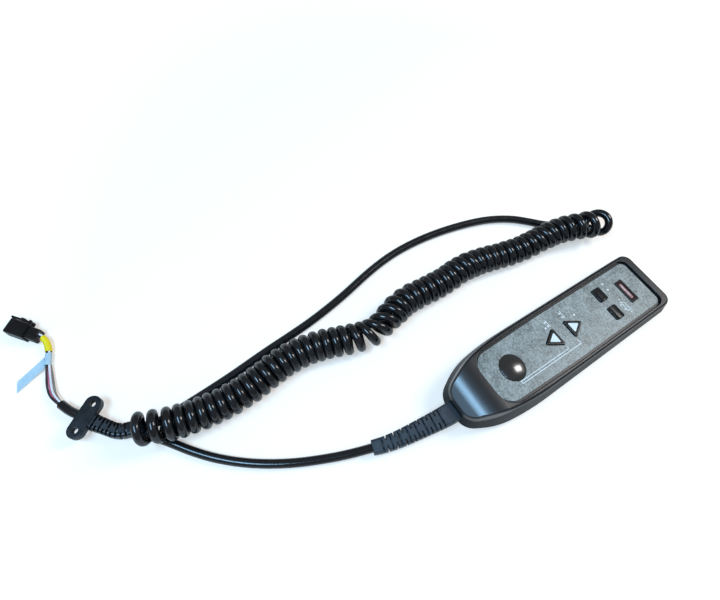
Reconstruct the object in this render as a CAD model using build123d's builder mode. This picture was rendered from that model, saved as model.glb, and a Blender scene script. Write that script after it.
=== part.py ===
"""Pendant control station: a wired hand control with a recessed faceplate, five push
keys, a small display, a straight and curly cord, a two-hole mounting flange and a
wire-to-wire connector.  Millimetres.  +X across the housing, +Y along it towards its
far end, +Z up from the surface it lies on.  The origin is under the middle of the
housing."""

import os
from math import cos, pi, radians, sin, tan

from build123d import *

os.makedirs("parts", exist_ok=True)

# ------------------------------------------------------------------ driving dimensions
# housing outline at the joint between its two covers
NOSE_HALF = 13.5            # half width of the cable end, before its corner is rounded
SHOULDER_HALF = 25.0
SHOULDER_FROM_NOSE = 21.0
WIDEST_HALF = 28.4
WIDEST_FROM_NOSE = 48.0
FAR_HALF = 26.3
NOSE_RADIUS = 14.0
SHOULDER_REACH = 11.4       # length of each side that a corner's arc takes up
FLANK_REACH = 14.0
FAR_RADIUS = 9.0
# housing section
JOINT_HEIGHT = 8.0          # height of the joint between the covers
FACE_HEIGHT = 27.0          # height of the face at the faceplate's cable end
FACE_FALL = 2.95            # degrees that the face falls towards the far end
APRON_FALL = 33.0           # degrees that the apron falls towards the cable
APRON_START = 11.0          # from the faceplate's edge to the middle of the apron's bend
APRON_BEND = 32.0
FRONT_DRAFT = 12.0
REAR_DRAFT = 3.0
WALL = 2.6
FORM_ROOM = 8.0             # how far the cutting forms reach past the housing
FORM_OVERLAP = 1.0          # how far they start below the joint
END_BAND = 6.0              # edges this near the housing's ends are its end's edges
LEVEL_ACROSS = 0.99         # an edge with more of its direction along X runs across
TOP_EDGE_RADIUS = 1.8
BACK_EDGE_RADIUS = 6.0
TONGUE_THICK = 1.1
TONGUE_DEPTH = 1.7
TONGUE_GAP = 0.1
SEAL_HEIGHT = 0.7
# faceplate and its pocket
PLATE_FROM_NOSE = 27.0
PLATE_FROM_FAR = 10.0       # from the faceplate to the housing's far end
PLATE_END_SIDE = 6.6        # from the housing's outline to the faceplate's, at its two ends
PLATE_WIDE_SIDE = 8.1       # and where they are widest
PLATE_WIDEST_AT = 63.5      # from the faceplate's cable end
PLATE_NEAR_RADIUS = 11.0
PLATE_FLANK_REACH = 5.0
PLATE_FAR_RADIUS = 4.5
PLATE_THICK = 1.2
PLATE_SUNK = 1.0            # rim above the faceplate
POCKET_GAP = 1.8            # channel along the faceplate's sides
POCKET_NEAR_GAP = 0.3
POCKET_FAR_GAP = 2.0
POCKET_WALL = 1.5
RIM_EDGE_RADIUS = 0.5       # round the pocket's mouth
FLUSH = 0.001               # an edge this near the face's plane lies on it
DECK_THICK = 2.0
KEY_GAP = 0.35              # running gap round each key
# keys and display along the faceplate, each from the one before
STOP_AT = 21.2              # from the faceplate's cable end
LOWER_PITCH = 40.25
ARROW_PITCH = 19.1
SQUARE_PITCH = 36.65
DISPLAY_PITCH = 21.0
DISPLAY_MARGIN = 16.8       # from the display's middle to the faceplate's far end
SQUARE_ACROSS = 8.4         # from the middle to each square key
# keys
KEY_TRAVEL = 1.0
KEY_STOP_GAP = 0.2          # left under a plunger at full travel
KEY_EDGE_RADIUS = 0.45
KEY_LIP = 0.9               # retaining lip beyond the key's outline
LIP_THICK = 1.2
REST_GAP = 0.3              # between the lip and the deck at rest
STOP_WIDE = 19.4
STOP_LONG = 18.2
STOP_PROUD = 2.4
STOP_CROWN = 24.0
ARROW_BASE = 15.2
ARROW_LONG = 12.9
ARROW_RADIUS = 1.1
ARROW_PROUD = 1.2
INLAY_SCALE = 0.56
INLAY_DEEP = 0.5
INLAY_SUNK = 0.1
SQUARE_WIDE = 10.7
SQUARE_LONG = 7.9
SQUARE_RADIUS = 1.0
SQUARE_PROUD = 1.6
SQUARE_CROWN = 12.0
# display and status windows
DISPLAY_WIDE = 19.2
DISPLAY_LONG = 7.8
DISPLAY_RIM = 1.5
DISPLAY_CORNER = 0.8
DISPLAY_PROUD = 0.5         # bezel above the faceplate
DISPLAY_GAP = 0.1
DISPLAY_EDGE = 0.35
LENS_PROUD = 0.1
STATUS_RADIUS = 0.8
LOWER_LAMP = (-9.6, 0.55)   # each from its key: across, along
RAISE_LAMP = (-6.6, 7.65)
AXLE_LAMPS = ((-5.4, 9.2), (0.2, 9.2))
LED_HEIGHT = 0.8
LED_SIDES = (2.0, 1.2)
WINDOW_PROUD = 0.05
# board and switches
BOARD_DEPTH = 9.5           # from the rim down to the board's upper side
BOARD_THICK = 1.6
BOARD_GAP = 1.3             # from the board to the bosses beside it
BOARD_START = 4.0
BOARD_MARGIN = 5.0          # from the board to the faceplate's far end
BOARD_CORNER = 3.0
SWITCH_SIDE = 4.5
SWITCH_HEIGHT = 2.6
PLUNGER_RADIUS = 1.2
PLUNGER_GAP = 0.1
DOME_FOOT = 4.9
DOME_TOP = 4.3
DOME_WALL = 0.7
CHIP_SIDE = 9.0
CHIP_HEIGHT = 1.4
CHIP_FROM_SQUARES = 16.2
CAPACITOR_RADIUS = 3.1
CAPACITOR_HEIGHT = 4.6
CAPACITOR_ACROSS = 8.5
SMALL_PART = (5.0, 3.6, 1.6)
SMALL_PART_PITCH = 6.0
SMALL_PART_INSET = 4.5      # from the board's side to a small part's middle
# screws
SCREW_GAP = 0.08
SCREW_ROOM = 0.6            # pilot hole beyond the screw's tip
BOARD_SCREW_RADIUS = 1.2
BOARD_SCREW_REACH = 4.2     # into the deck's bosses
BOARD_SCREW_SIDE = 2.6      # from the board's side and from its ends
BOARD_SCREW_END = 5.0
BOARD_HEAD_RADIUS = 2.1
BOARD_HEAD_HEIGHT = 1.5
BOARD_BOSS_RADIUS = 2.5
CASE_SCREW_RADIUS = 1.45
CASE_SCREW_REACH = 6.5      # into the front cover
CASE_SCREW_SIDE = 6.5       # from the outline, at the middle and near the ends
CASE_SCREW_END_SIDE = 7.85
CASE_SCREW_NEAR = 17.0      # from the nose
CASE_SCREW_FAR = 10.0       # from the far end
CASE_HEAD_RADIUS = 2.8
CASE_HEAD_HEIGHT = 2.0
CASE_HEAD_GAP = 0.2
CASE_BOSS_RADIUS = 2.9
BOSS_ROOM = 0.5             # from a boss's end to the pocket's floor
CASE_POST_WALL = 0.8        # round the counterbore
COUNTERBORE_DEEP = 3.2
RECESS_WIDE = 2.6           # cross recess of a screw's head
RECESS_SLOT = 0.8
RECESS_DEEP = 1.1
RIB_THICK = 1.4
RIB_HEIGHT = 1.5
RIB_SIDE_GAP = 5.0
RIB_PITCH = 23.0
# cord entry: clamp, cores and header
CLAMP_FROM_NOSE = 15.0
CLAMP_WIDE = 18.0
CLAMP_LONG = 5.0
CLAMP_THICK = 1.8
CLAMP_RIB = 1.2
CLAMP_SCREW_AT = 6.6
CLAMP_SCREW_RADIUS = 1.0
CLAMP_SCREW_REACH = 5.8
CLAMP_HEAD_RADIUS = 1.9
CLAMP_HEAD_HEIGHT = 1.3
SADDLE_WIDE = 11.0
SADDLE_GAP = 0.05
JACKET_FROM_NOSE = 20.0     # where the jacket ends inside the housing
CORES = 4
CORE_RADIUS = 0.65
CORE_PITCH = 1.45
CORE_LEAD = 2.5             # straight length of a core at each end
HEADER_AT = 15.0
HEADER_SIZE = (11.0, 3.0, 4.6)
SOCKET_SIZE = (9.6, 6.0, 4.0)
# strain relief at the housing
RELIEF_ROOT = (14.4, 10.2)
RELIEF_TIP = (9.6, 9.2)
RELIEF_CORNER = 2.1
RELIEF_COLLAR = 9.0
RELIEF_PAIRS = 7
RELIEF_TAIL = 4.5
RELIEF_SLOT = 1.25
RELIEF_STATIONS = 5         # sections along the moulding
RELIEF_CUTTER = 1.5         # slot cutter's size over the moulding's
SIDE_WEB = 0.5              # webs' share of the moulding's height and width
TOP_WEB = 0.36
RELIEF_SLEEVE = 0.6         # moulding round the cord between the rings
ENTRY_GAP = 0.15
ENTRY_REACH = 12.0
NECK_FLANGE = (17.4, 7.0, 2.0)
NECK_FLANGE_AT = 3.7        # from the nose's end to the flange
NECK_OVERLAP = 1.3          # neck's reach into the slotted moulding
# cords
BEND_SHARE = 0.45           # of the shorter run, taken up by each bend's arc
CORD_DIAMETER = 6.2
COIL_DIAMETER = 22.0
WIRE_DIAMETER = 1.5
WIRE_SPACING = 1.6
WIRE_OFFSET = WIRE_SPACING / 2
JACKET_LEAD = 8.0           # straight length of the jacket past the flange
# far strain relief and mounting flange
FAR_RELIEF_ROOT = (10.6, 10.4)
FAR_RELIEF_TIP = (9.2, 9.0)
FAR_RELIEF_COLLAR = 1.5
FAR_RELIEF_PAIRS = 4
FAR_RELIEF_TAIL = 3.0
FLANGE_LENGTH = 30.0
FLANGE_WIDTH = 11.0
FLANGE_THICK = 5.0
FLANGE_TOP = 11.6
FLANGE_HOLE_SPACING = 19.0
FLANGE_HOLE_RADIUS = 2.15
FLANGE_EDGE = 0.6
CABLE_LEVEL = 6.0           # height of the cable's middle in the flange
HUB_WIDTH = 11.4
HUB_DROP = 1.0              # hub's top below the flange's
HUB_CORNER = 1.2
# connector
PLUG_LENGTH = 15.0
PLUG_WIDTH = 11.0
PLUG_HEIGHT = 10.0
COLLAR_LENGTH = 8.0
COLLAR_WIDTH = 9.0
COLLAR_HEIGHT = 8.0
COLLAR_WALL = 0.9
COLLAR_CORNER = 1.5
PLUG_CORNER = 1.2
PLUG_EDGE = 0.5
WIRE_SEAL_DEEP = 3.0
TERMINAL_PITCH = 3.4
TERMINAL_SIDE = 1.9
CAVITY_GAP = 0.25
LOCK_SIZE = (7.6, 6.6, 2.2)
LOCK_GAP = 0.1
LATCH_PIVOT_AT = 10.5       # from the collar's rear face
LATCH_LONG = 15.5
LATCH_HIGH = 3.4
LATCH_THICK = 1.2
LATCH_STAND = 1.7           # pivot from the housing's side
LATCH_PIN_RADIUS = 0.6
LATCH_PIN_GAP = 0.05
LUG_THICK = 0.9
LUG_GAP = 0.15
LUG_RADIUS = 1.45
THUMB_AT = 6.5
THUMB_LONG = 3.4
THUMB_HIGH = 0.8
HOOK_LONG = 2.6
HOOK_HIGH = 0.7
# sleeve and label on the wires
BUNDLE_BORE = 1.95
SLEEVE_WALL = 0.35
SLEEVE_SPAN = (44.6, 56.4)  # along the wires
LABEL_SPAN = (34.5, 43.0)
LABEL_PAPER = 0.3
LABEL_WIDE = 6.6
LABEL_LONG = 26.0
LABEL_SLANT = 2.5
LABEL_HEADING = -73.8       # degrees from +X
LABEL_DROP = 5.0            # degrees that the tail falls

# ------------------------------------------------------------------ derived places
LOWER_AT = STOP_AT + LOWER_PITCH
RAISE_AT = LOWER_AT + ARROW_PITCH
SQUARE_AT = RAISE_AT + SQUARE_PITCH
DISPLAY_AT = SQUARE_AT + DISPLAY_PITCH
PLATE_LENGTH = DISPLAY_AT + DISPLAY_MARGIN
HOUSING_LENGTH = PLATE_FROM_NOSE + PLATE_LENGTH + PLATE_FROM_FAR
END = HOUSING_LENGTH / 2
# corners of the housing's outline on its right side, from the cable end
OUTLINE = [
    (0, -END), (NOSE_HALF, -END), (SHOULDER_HALF, SHOULDER_FROM_NOSE - END),
    (WIDEST_HALF, WIDEST_FROM_NOSE - END), (FAR_HALF, END), (0, END),
]


def half_width(along):
    """Half the outline's width at a place along the housing, with its corners left sharp."""
    for (half, start), (next_half, end) in zip(OUTLINE[1:-1], OUTLINE[2:-1]):
        if along <= end:
            return half + (next_half - half) * (along - start) / (end - start)


PLATE_Y = PLATE_FROM_NOSE - END
PLATE_NEAR_HALF = half_width(PLATE_Y) - PLATE_END_SIDE
PLATE_WIDE_HALF = WIDEST_HALF - PLATE_WIDE_SIDE
PLATE_FAR_HALF = FAR_HALF - PLATE_END_SIDE
FALL = radians(FACE_FALL)
APRON = radians(APRON_FALL)
FACE = Plane(origin=(0, PLATE_Y, FACE_HEIGHT), x_dir=(1, 0, 0), z_dir=(0, sin(FALL), cos(FALL)))
PLATE_FLOOR = PLATE_SUNK + PLATE_THICK
DECK_UNDER = PLATE_FLOOR + DECK_THICK
LIP_TOP = DECK_UNDER + REST_GAP
LIP_UNDER = LIP_TOP + LIP_THICK
BOARD_UNDER = BOARD_DEPTH + BOARD_THICK
CORD_RADIUS = CORD_DIAMETER / 2

# key name: across, along the faceplate
KEYS = {
    "stop": (0, STOP_AT),
    "lower": (0, LOWER_AT),
    "raise": (0, RAISE_AT),
    "axle": (-SQUARE_ACROSS, SQUARE_AT),
    "height": (SQUARE_ACROSS, SQUARE_AT),
}
KEY_PROUD = {"stop": STOP_PROUD, "raise": ARROW_PROUD, "lower": ARROW_PROUD,
             "axle": SQUARE_PROUD, "height": SQUARE_PROUD}
STATUS_SPOTS = [
    (LOWER_LAMP[0], LOWER_AT + LOWER_LAMP[1]), (RAISE_LAMP[0], RAISE_AT + RAISE_LAMP[1]),
    *((across - SQUARE_ACROSS, SQUARE_AT + along) for across, along in AXLE_LAMPS),
]
CASE_SCREWS = [
    (side * (half_width(along) - inset), along)
    for along, inset in ((CASE_SCREW_NEAR - END, CASE_SCREW_END_SIDE), (0, CASE_SCREW_SIDE),
                         (END - CASE_SCREW_FAR, CASE_SCREW_END_SIDE))
    for side in (-1, 1)
]
# the board fits between the bosses of the middle housing screws
BOARD_HALF = half_width(0) - CASE_SCREW_SIDE - CASE_BOSS_RADIUS - BOARD_GAP
BOARD_END = PLATE_LENGTH - BOARD_MARGIN
BOARD_SCREWS = [
    (side * (BOARD_HALF - BOARD_SCREW_SIDE), along)
    for along in (BOARD_START + BOARD_SCREW_END, (RAISE_AT + SQUARE_AT) / 2, BOARD_END - BOARD_SCREW_END)
    for side in (-1, 1)
]
CHIP_AT = SQUARE_AT - CHIP_FROM_SQUARES
SUPPLY_AT = (STOP_AT + LOWER_AT) / 2
CAPACITOR_SPOTS = [(-CAPACITOR_ACROSS, SUPPLY_AT), (CAPACITOR_ACROSS, SUPPLY_AT)]
SMALL_PART_ACROSS = BOARD_HALF - SMALL_PART_INSET
ARROWS_AT = (LOWER_AT + RAISE_AT) / 2
SMALL_PART_SPOTS = [
    (0, SUPPLY_AT), (SMALL_PART_ACROSS, ARROWS_AT - SMALL_PART_PITCH / 2),
    (SMALL_PART_ACROSS, ARROWS_AT + SMALL_PART_PITCH / 2), (-SMALL_PART_ACROSS, CHIP_AT + SMALL_PART_PITCH / 2),
]
RIB_SPOTS = [(0, -2 * RIB_PITCH), (0, -RIB_PITCH), (0, RIB_PITCH), (0, 2 * RIB_PITCH)]
CLAMP_SCREWS = [(side * CLAMP_SCREW_AT, CLAMP_FROM_NOSE - END) for side in (-1, 1)]
KNEE = PLATE_Y - APRON_START
DOME_HIGH = BOARD_DEPTH - LIP_UNDER - PLUNGER_GAP / 2
CLAMP_SEAT = JOINT_HEIGHT + CORD_RADIUS
ENTRY = (RELIEF_ROOT[0] + 2 * ENTRY_GAP, RELIEF_ROOT[1] + 2 * ENTRY_GAP)
PLUG_LEVEL = PLUG_HEIGHT / 2
CORD_REST = CORD_RADIUS             # height of a cord's middle where it lies on the floor
COIL_REST = COIL_DIAMETER / 2 + 0.1


def face_level(along):
    """Height of the face's plane at a place along the housing."""
    return FACE_HEIGHT - (along - PLATE_Y) * tan(FALL)


# ------------------------------------------------------------------ shared forms
def arc_radius(before, corner, after, reach):
    """Radius of the arc that rounds a corner and takes up a length of each side of it."""
    run_in = Vector(*corner) - Vector(*before)
    run_out = Vector(*after) - Vector(*corner)
    return reach / tan(radians(run_in.get_angle(run_out)) / 2)


def housing_face(inset=0.0, mode=Mode.ADD):
    """Outline of the housing at the joint, inside a sketch, pulled in by inset."""
    with BuildLine() as outline:
        FilletPolyline(*OUTLINE, radius=[
            NOSE_RADIUS, arc_radius(*OUTLINE[1:4], SHOULDER_REACH), arc_radius(*OUTLINE[2:5], FLANK_REACH),
            FAR_RADIUS,
        ])
        mirror(about=Plane.YZ)
        if inset:
            offset(amount=-inset, mode=Mode.REPLACE)
    make_face(outline.edges(), mode=mode)


def plate_face(grow=0.0, near=0.0, far=0.0):
    """Outline of the faceplate on the face's plane, inside a sketch, grown on every side
    and lengthened at its two ends."""
    corners = [
        (0, -near), (PLATE_NEAR_HALF, -near), (PLATE_WIDE_HALF, PLATE_WIDEST_AT),
        (PLATE_FAR_HALF, PLATE_LENGTH + far), (0, PLATE_LENGTH + far),
    ]
    flank_radius = arc_radius(*corners[1:4], PLATE_FLANK_REACH)
    with BuildLine() as outline:
        FilletPolyline(*corners, radius=[PLATE_NEAR_RADIUS, flank_radius, PLATE_FAR_RADIUS])
        mirror(about=Plane.YZ)
        if grow:
            offset(amount=grow, mode=Mode.REPLACE)
    make_face(outline.edges())


def front_form(inset, roof):
    """The front cover's outer form, with its walls pulled in and its roof lowered."""
    out = END + FORM_ROOM
    floor = JOINT_HEIGHT - FORM_OVERLAP
    with BuildPart() as form:
        with BuildSketch(Plane.XY.offset(JOINT_HEIGHT)):
            housing_face(inset)
        extrude(amount=FACE_HEIGHT, taper=FRONT_DRAFT)
        with BuildSketch(Plane.YZ):
            with BuildLine():
                FilletPolyline(
                    (out, floor),
                    (out, face_level(out) - roof),
                    (KNEE, face_level(KNEE) - roof),
                    (-out, face_level(KNEE) - roof - (out + KNEE) * tan(APRON)),
                    (-out, floor),
                    radius=[0, APRON_BEND, 0],
                )
                Line((-out, floor), (out, floor))
            make_face()
        extrude(amount=2 * WIDEST_HALF, both=True, mode=Mode.INTERSECT)
    return form.part


def roof_level(along):
    """Height of the front cover's outside along its middle, with the apron's bend left sharp."""
    return face_level(along) if along > KNEE else face_level(KNEE) - (KNEE - along) * tan(APRON)


def rear_form(inset, edge_radius):
    """The rear cover's outer form, or its hollow, down from the joint."""
    with BuildPart() as form:
        with BuildSketch(Plane(origin=(0, 0, JOINT_HEIGHT), x_dir=(-1, 0, 0), z_dir=(0, 0, -1))):
            housing_face(inset)
        extrude(amount=JOINT_HEIGHT - inset, taper=REAR_DRAFT)
        fillet(faces().sort_by(Axis.Z)[0].edges(), edge_radius)
    return form.part


def key_face(kind, grow=0.0, share=1.0):
    """A key's outline about its own middle, inside a sketch; an arrow's middle is where it
    is pressed, a third of its height above its base."""
    if kind == "stop":
        Ellipse(STOP_WIDE / 2 + grow, STOP_LONG / 2 + grow)
    elif kind in ("raise", "lower"):
        way = share if kind == "raise" else -share
        with BuildLine() as outline:
            FilletPolyline(
                (-share * ARROW_BASE / 2, -way * ARROW_LONG / 3),
                (share * ARROW_BASE / 2, -way * ARROW_LONG / 3),
                (0, way * ARROW_LONG * 2 / 3),
                radius=share * ARROW_RADIUS, close=True,
            )
            if grow:
                offset(amount=grow, mode=Mode.REPLACE)
        make_face(outline.edges())
    else:
        RectangleRounded(SQUARE_WIDE + 2 * grow, SQUARE_LONG + 2 * grow, SQUARE_RADIUS + grow)


def key_plane(name, depth):
    """The face's plane moved to a key's middle, at a depth below the rim."""
    across, along = KEYS[name]
    return Plane(FACE.offset(-depth).location * Location((across, along, 0)))


def bend_radii(points):
    """The largest arc that fits each corner of a cord's route."""
    runs = [(Vector(*end) - Vector(*start)).length for start, end in zip(points, points[1:])]
    return [
        arc_radius(*points[at:at + 3], BEND_SHARE * min(runs[at], runs[at + 1]))
        for at in range(len(points) - 2)
    ]


def cord_path(points):
    """Straight runs joined by tangent arcs, as one wire."""
    with BuildLine():
        path = FilletPolyline(*points, radius=bend_radii(points))
    return path


def cord_tube(name, points, diameter, spot=(0, 0)):
    """A round tube along a cord's route, or beside it at a spot in its cross section."""
    path = cord_path(points)
    with BuildPart() as tube:
        with BuildSketch(section_plane(path, 0)):
            with Locations(spot):
                Circle(diameter / 2)
        sweep(path=path)
    share = tube.part.volume / (path.length * pi * diameter**2 / 4)
    print(f"{name}: {path.length:.1f} mm, volume {share:.4f} of section x length, radii",
          [round(radius, 1) for radius in bend_radii(points)])
    return tube.part


def section_plane(path, share):
    """Plane square to a path at a share of its length, with its x axis level."""
    ahead = (path % share).normalized()
    return Plane(origin=path @ share, x_dir=ahead.cross(Vector(0, 0, 1)), z_dir=ahead)


def strain_relief(points, root, tip, collar, pairs, tail):
    """A moulded strain relief along a route: a tapering oblong, slotted down to a sleeve on
    the cord's jacket between a collar and a tail.  The slots leave a web at the sides and a
    web above and below by turns, so that the moulding bends evenly both ways."""
    path = cord_path(points)

    def sides(at):
        """Width and height of the moulding at a distance along the route."""
        share = at / path.length
        return root[0] + (tip[0] - root[0]) * share, root[1] + (tip[1] - root[1]) * share

    stations = []
    for step in range(RELIEF_STATIONS + 1):
        share = step / RELIEF_STATIONS
        with BuildSketch(section_plane(path, share)) as station:
            RectangleRounded(*sides(share * path.length), RELIEF_CORNER)
        stations.append(station.sketch)

    pitch = (path.length - collar - tail) / (2 * pairs + 1)
    with BuildPart() as relief:
        loft(sections=stations)
        for turn in range(2 * pairs + 1):
            at = collar + turn * pitch
            wide, high = sides(at)
            web = (2 * wide, SIDE_WEB * high) if turn % 2 == 0 else (TOP_WEB * wide, 2 * high)
            with BuildSketch(section_plane(path, at / path.length)):
                Rectangle(RELIEF_CUTTER * wide, RELIEF_CUTTER * high)
                Circle(CORD_RADIUS + RELIEF_SLEEVE, mode=Mode.SUBTRACT)
                Rectangle(*web, mode=Mode.SUBTRACT)
        extrude(amount=RELIEF_SLOT, mode=Mode.SUBTRACT)
    return relief.part


def keep(name, solid):
    """Label a finished piece and write its file."""
    solid.label = name
    export_step(solid, f"parts/{name}.step")


# ------------------------------------------------------------------ cord routes
# Points chosen by hand along each cord, from the housing to the connector, with Y
# measured from the end of the housing's nose.
def from_nose(points):
    """Points of a route moved to their places."""
    return [(x, y - END, z) for x, y, z in points]


RELIEF_ROUTE = from_nose([
    (0, -0.5, JOINT_HEIGHT), (-0.6, -10.0, 7.9), (-2.2, -22.0, 7.5), (-3.9, -34.0, 6.9),
    (-6.0, -46.0, 6.0), (-10.2, -58.6, 5.0),
])
LEAD_ROUTE = RELIEF_ROUTE[-1:] + from_nose([
    (-15.0, -73.0, 3.86), (-22.4, -90.5, 3.2), (-31.6, -109.4, CORD_REST),
    (-44.6, -129.6, CORD_REST), (-59.6, -147.0, CORD_REST), (-74.2, -159.6, CORD_REST), (-86.5, -168.0, 3.9),
    (-97.5, -174.6, 8.2),
])
COIL_ROUTE = from_nose([
    (-101.5, -180.0, 19.4), (-94.5, -160.0, 16.2), (-90.8, -136.0, 12.0), (-90.2, -109.0, 11.2),
    (-92.6, -84.0, COIL_REST), (-91.2, -58.0, COIL_REST), (-84.6, -35.0, COIL_REST), (-78.4, -16.0, COIL_REST),
    (-79.0, 4.0, COIL_REST), (-84.2, 24.0, COIL_REST), (-84.3, 52.0, COIL_REST), (-83.6, 78.0, COIL_REST),
    (-78.6, 108.0, COIL_REST), (-73.6, 134.0, COIL_REST), (-71.0, 159.0, 11.3), (-64.6, 184.0, 12.4),
    (-55.6, 207.0, 13.6),
])
RETURN_ROUTE = from_nose([
    (-61.0, 199.0, 10.0), (-67.0, 193.0, 5.6), (-74.5, 185.5, 3.6), (-81.5, 174.5, CORD_REST),
    (-91.0, 160.5, CORD_REST), (-103.5, 145.0, CORD_REST), (-114.0, 126.0, CORD_REST), (-121.6, 100.0, CORD_REST),
    (-126.6, 72.0, CORD_REST), (-127.8, 43.0, CORD_REST), (-124.0, 16.0, CORD_REST), (-116.6, -13.0, CORD_REST),
    (-111.6, -42.0, CORD_REST), (-109.6, -64.0, CORD_REST), (-108.2, -85.0, CORD_REST),
    (-105.2, -112.0, CORD_REST), (-103.8, -134.0, CORD_REST), (-102.8, -154.0, CORD_REST), (-101.8, -170.3, 3.76),
    (-106.0, -183.0, 4.9),
])
FAR_RELIEF_ROUTE = from_nose([
    (-124.0, -203.4, CABLE_LEVEL), (-117.4, -198.9, CABLE_LEVEL), (-109.15, -192.52, 5.76),
]) + RETURN_ROUTE[-1:]
WIRE_ROUTE = from_nose([
    (-147.6, -217.6, 4.8), (-155.5, -221.1, 3.6), (-165.4, -221.6, 2.2), (-174.4, -219.2, 2.1),
    (-182.8, -215.2, 2.8), (-190.6, -212.0, 3.1), (-196.4, -210.9, 4.2), (-200.4, -211.6, PLUG_LEVEL),
    (-203.2, -213.8, PLUG_LEVEL),
])

# ------------------------------------------------------------------ front cover
outer_form = front_form(0.0, 0.0)
inner_form = front_form(WALL, WALL)
with BuildPart() as cavity:
    add(inner_form)
    with BuildSketch(FACE.offset(-DECK_UNDER)):
        plate_face(POCKET_GAP + POCKET_WALL, far=POCKET_FAR_GAP)
    extrude(amount=DECK_UNDER + FORM_ROOM, mode=Mode.SUBTRACT)

with BuildPart() as front_cover:
    add(outer_form)
    # the rim's edges, without the lines of the apron's bend
    crown = (edges().filter_by(lambda e: e.center().Z > JOINT_HEIGHT + TOP_EDGE_RADIUS / 2)
             .filter_by(lambda e: abs(e.tangent_at(0.5).X) < LEVEL_ACROSS or abs(e.center().Y) > END - END_BAND))
    fillet(crown, TOP_EDGE_RADIUS)
    add(cavity.part, mode=Mode.SUBTRACT)
    with BuildSketch(FACE):
        plate_face(POCKET_GAP, near=POCKET_NEAR_GAP - POCKET_GAP, far=POCKET_FAR_GAP - POCKET_GAP)
    extrude(amount=-PLATE_FLOOR, mode=Mode.SUBTRACT)
    mouth = edges(Select.LAST).filter_by(lambda e: abs(FACE.to_local_coords(e.center()).Z) < FLUSH)
    fillet(mouth, RIM_EDGE_RADIUS)
    # tongue that enters the rear cover
    with BuildSketch(Plane.XY.offset(JOINT_HEIGHT)):
        housing_face(WALL - TONGUE_THICK)
        housing_face(WALL, mode=Mode.SUBTRACT)
    extrude(amount=-TONGUE_DEPTH)
    # bosses for the housing screws, from the joint up into the roof
    for spot in CASE_SCREWS:
        with BuildSketch(Plane.XY.offset(JOINT_HEIGHT)):
            with Locations(spot):
                Circle(CASE_BOSS_RADIUS)
        extrude(amount=roof_level(spot[1]) - JOINT_HEIGHT - PLATE_FLOOR - BOSS_ROOM)
    # bosses for the board, down from the deck
    with BuildSketch(FACE.offset(-BOARD_DEPTH)):
        with Locations(*BOARD_SCREWS):
            Circle(BOARD_BOSS_RADIUS)
    extrude(amount=BOARD_DEPTH - DECK_UNDER + DECK_THICK / 2)
    # openings for the keys, the display and the status windows
    for name in KEYS:
        with BuildSketch(key_plane(name, DECK_UNDER + DECK_THICK)):
            key_face(name, KEY_GAP)
        extrude(amount=DECK_UNDER + DECK_THICK, mode=Mode.SUBTRACT)
    with BuildSketch(FACE.offset(-DECK_UNDER - DECK_THICK)):
        with Locations((0, DISPLAY_AT)):
            Rectangle(DISPLAY_WIDE - 2 * DISPLAY_RIM, DISPLAY_LONG - 2 * DISPLAY_RIM)
        with Locations(*STATUS_SPOTS):
            Circle(STATUS_RADIUS + SCREW_GAP)
    extrude(amount=DECK_UNDER + DECK_THICK, mode=Mode.SUBTRACT)
    # pilot holes
    with BuildSketch(Plane.XY.offset(JOINT_HEIGHT)):
        with Locations(*CASE_SCREWS):
            Circle(CASE_SCREW_RADIUS + SCREW_GAP)
    extrude(amount=CASE_SCREW_REACH + SCREW_ROOM, mode=Mode.SUBTRACT)
    with BuildSketch(FACE.offset(-BOARD_DEPTH)):
        with Locations(*BOARD_SCREWS):
            Circle(BOARD_SCREW_RADIUS + SCREW_GAP)
    extrude(amount=BOARD_SCREW_REACH + SCREW_ROOM, mode=Mode.SUBTRACT)
    # way out for the strain relief
    with BuildSketch(Plane.XZ.offset(END - ENTRY_REACH)):
        with Locations((0, JOINT_HEIGHT)):
            RectangleRounded(*ENTRY, RELIEF_CORNER)
    extrude(amount=ENTRY_REACH + FORM_ROOM, mode=Mode.SUBTRACT)
keep("front_cover", front_cover.part)

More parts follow.
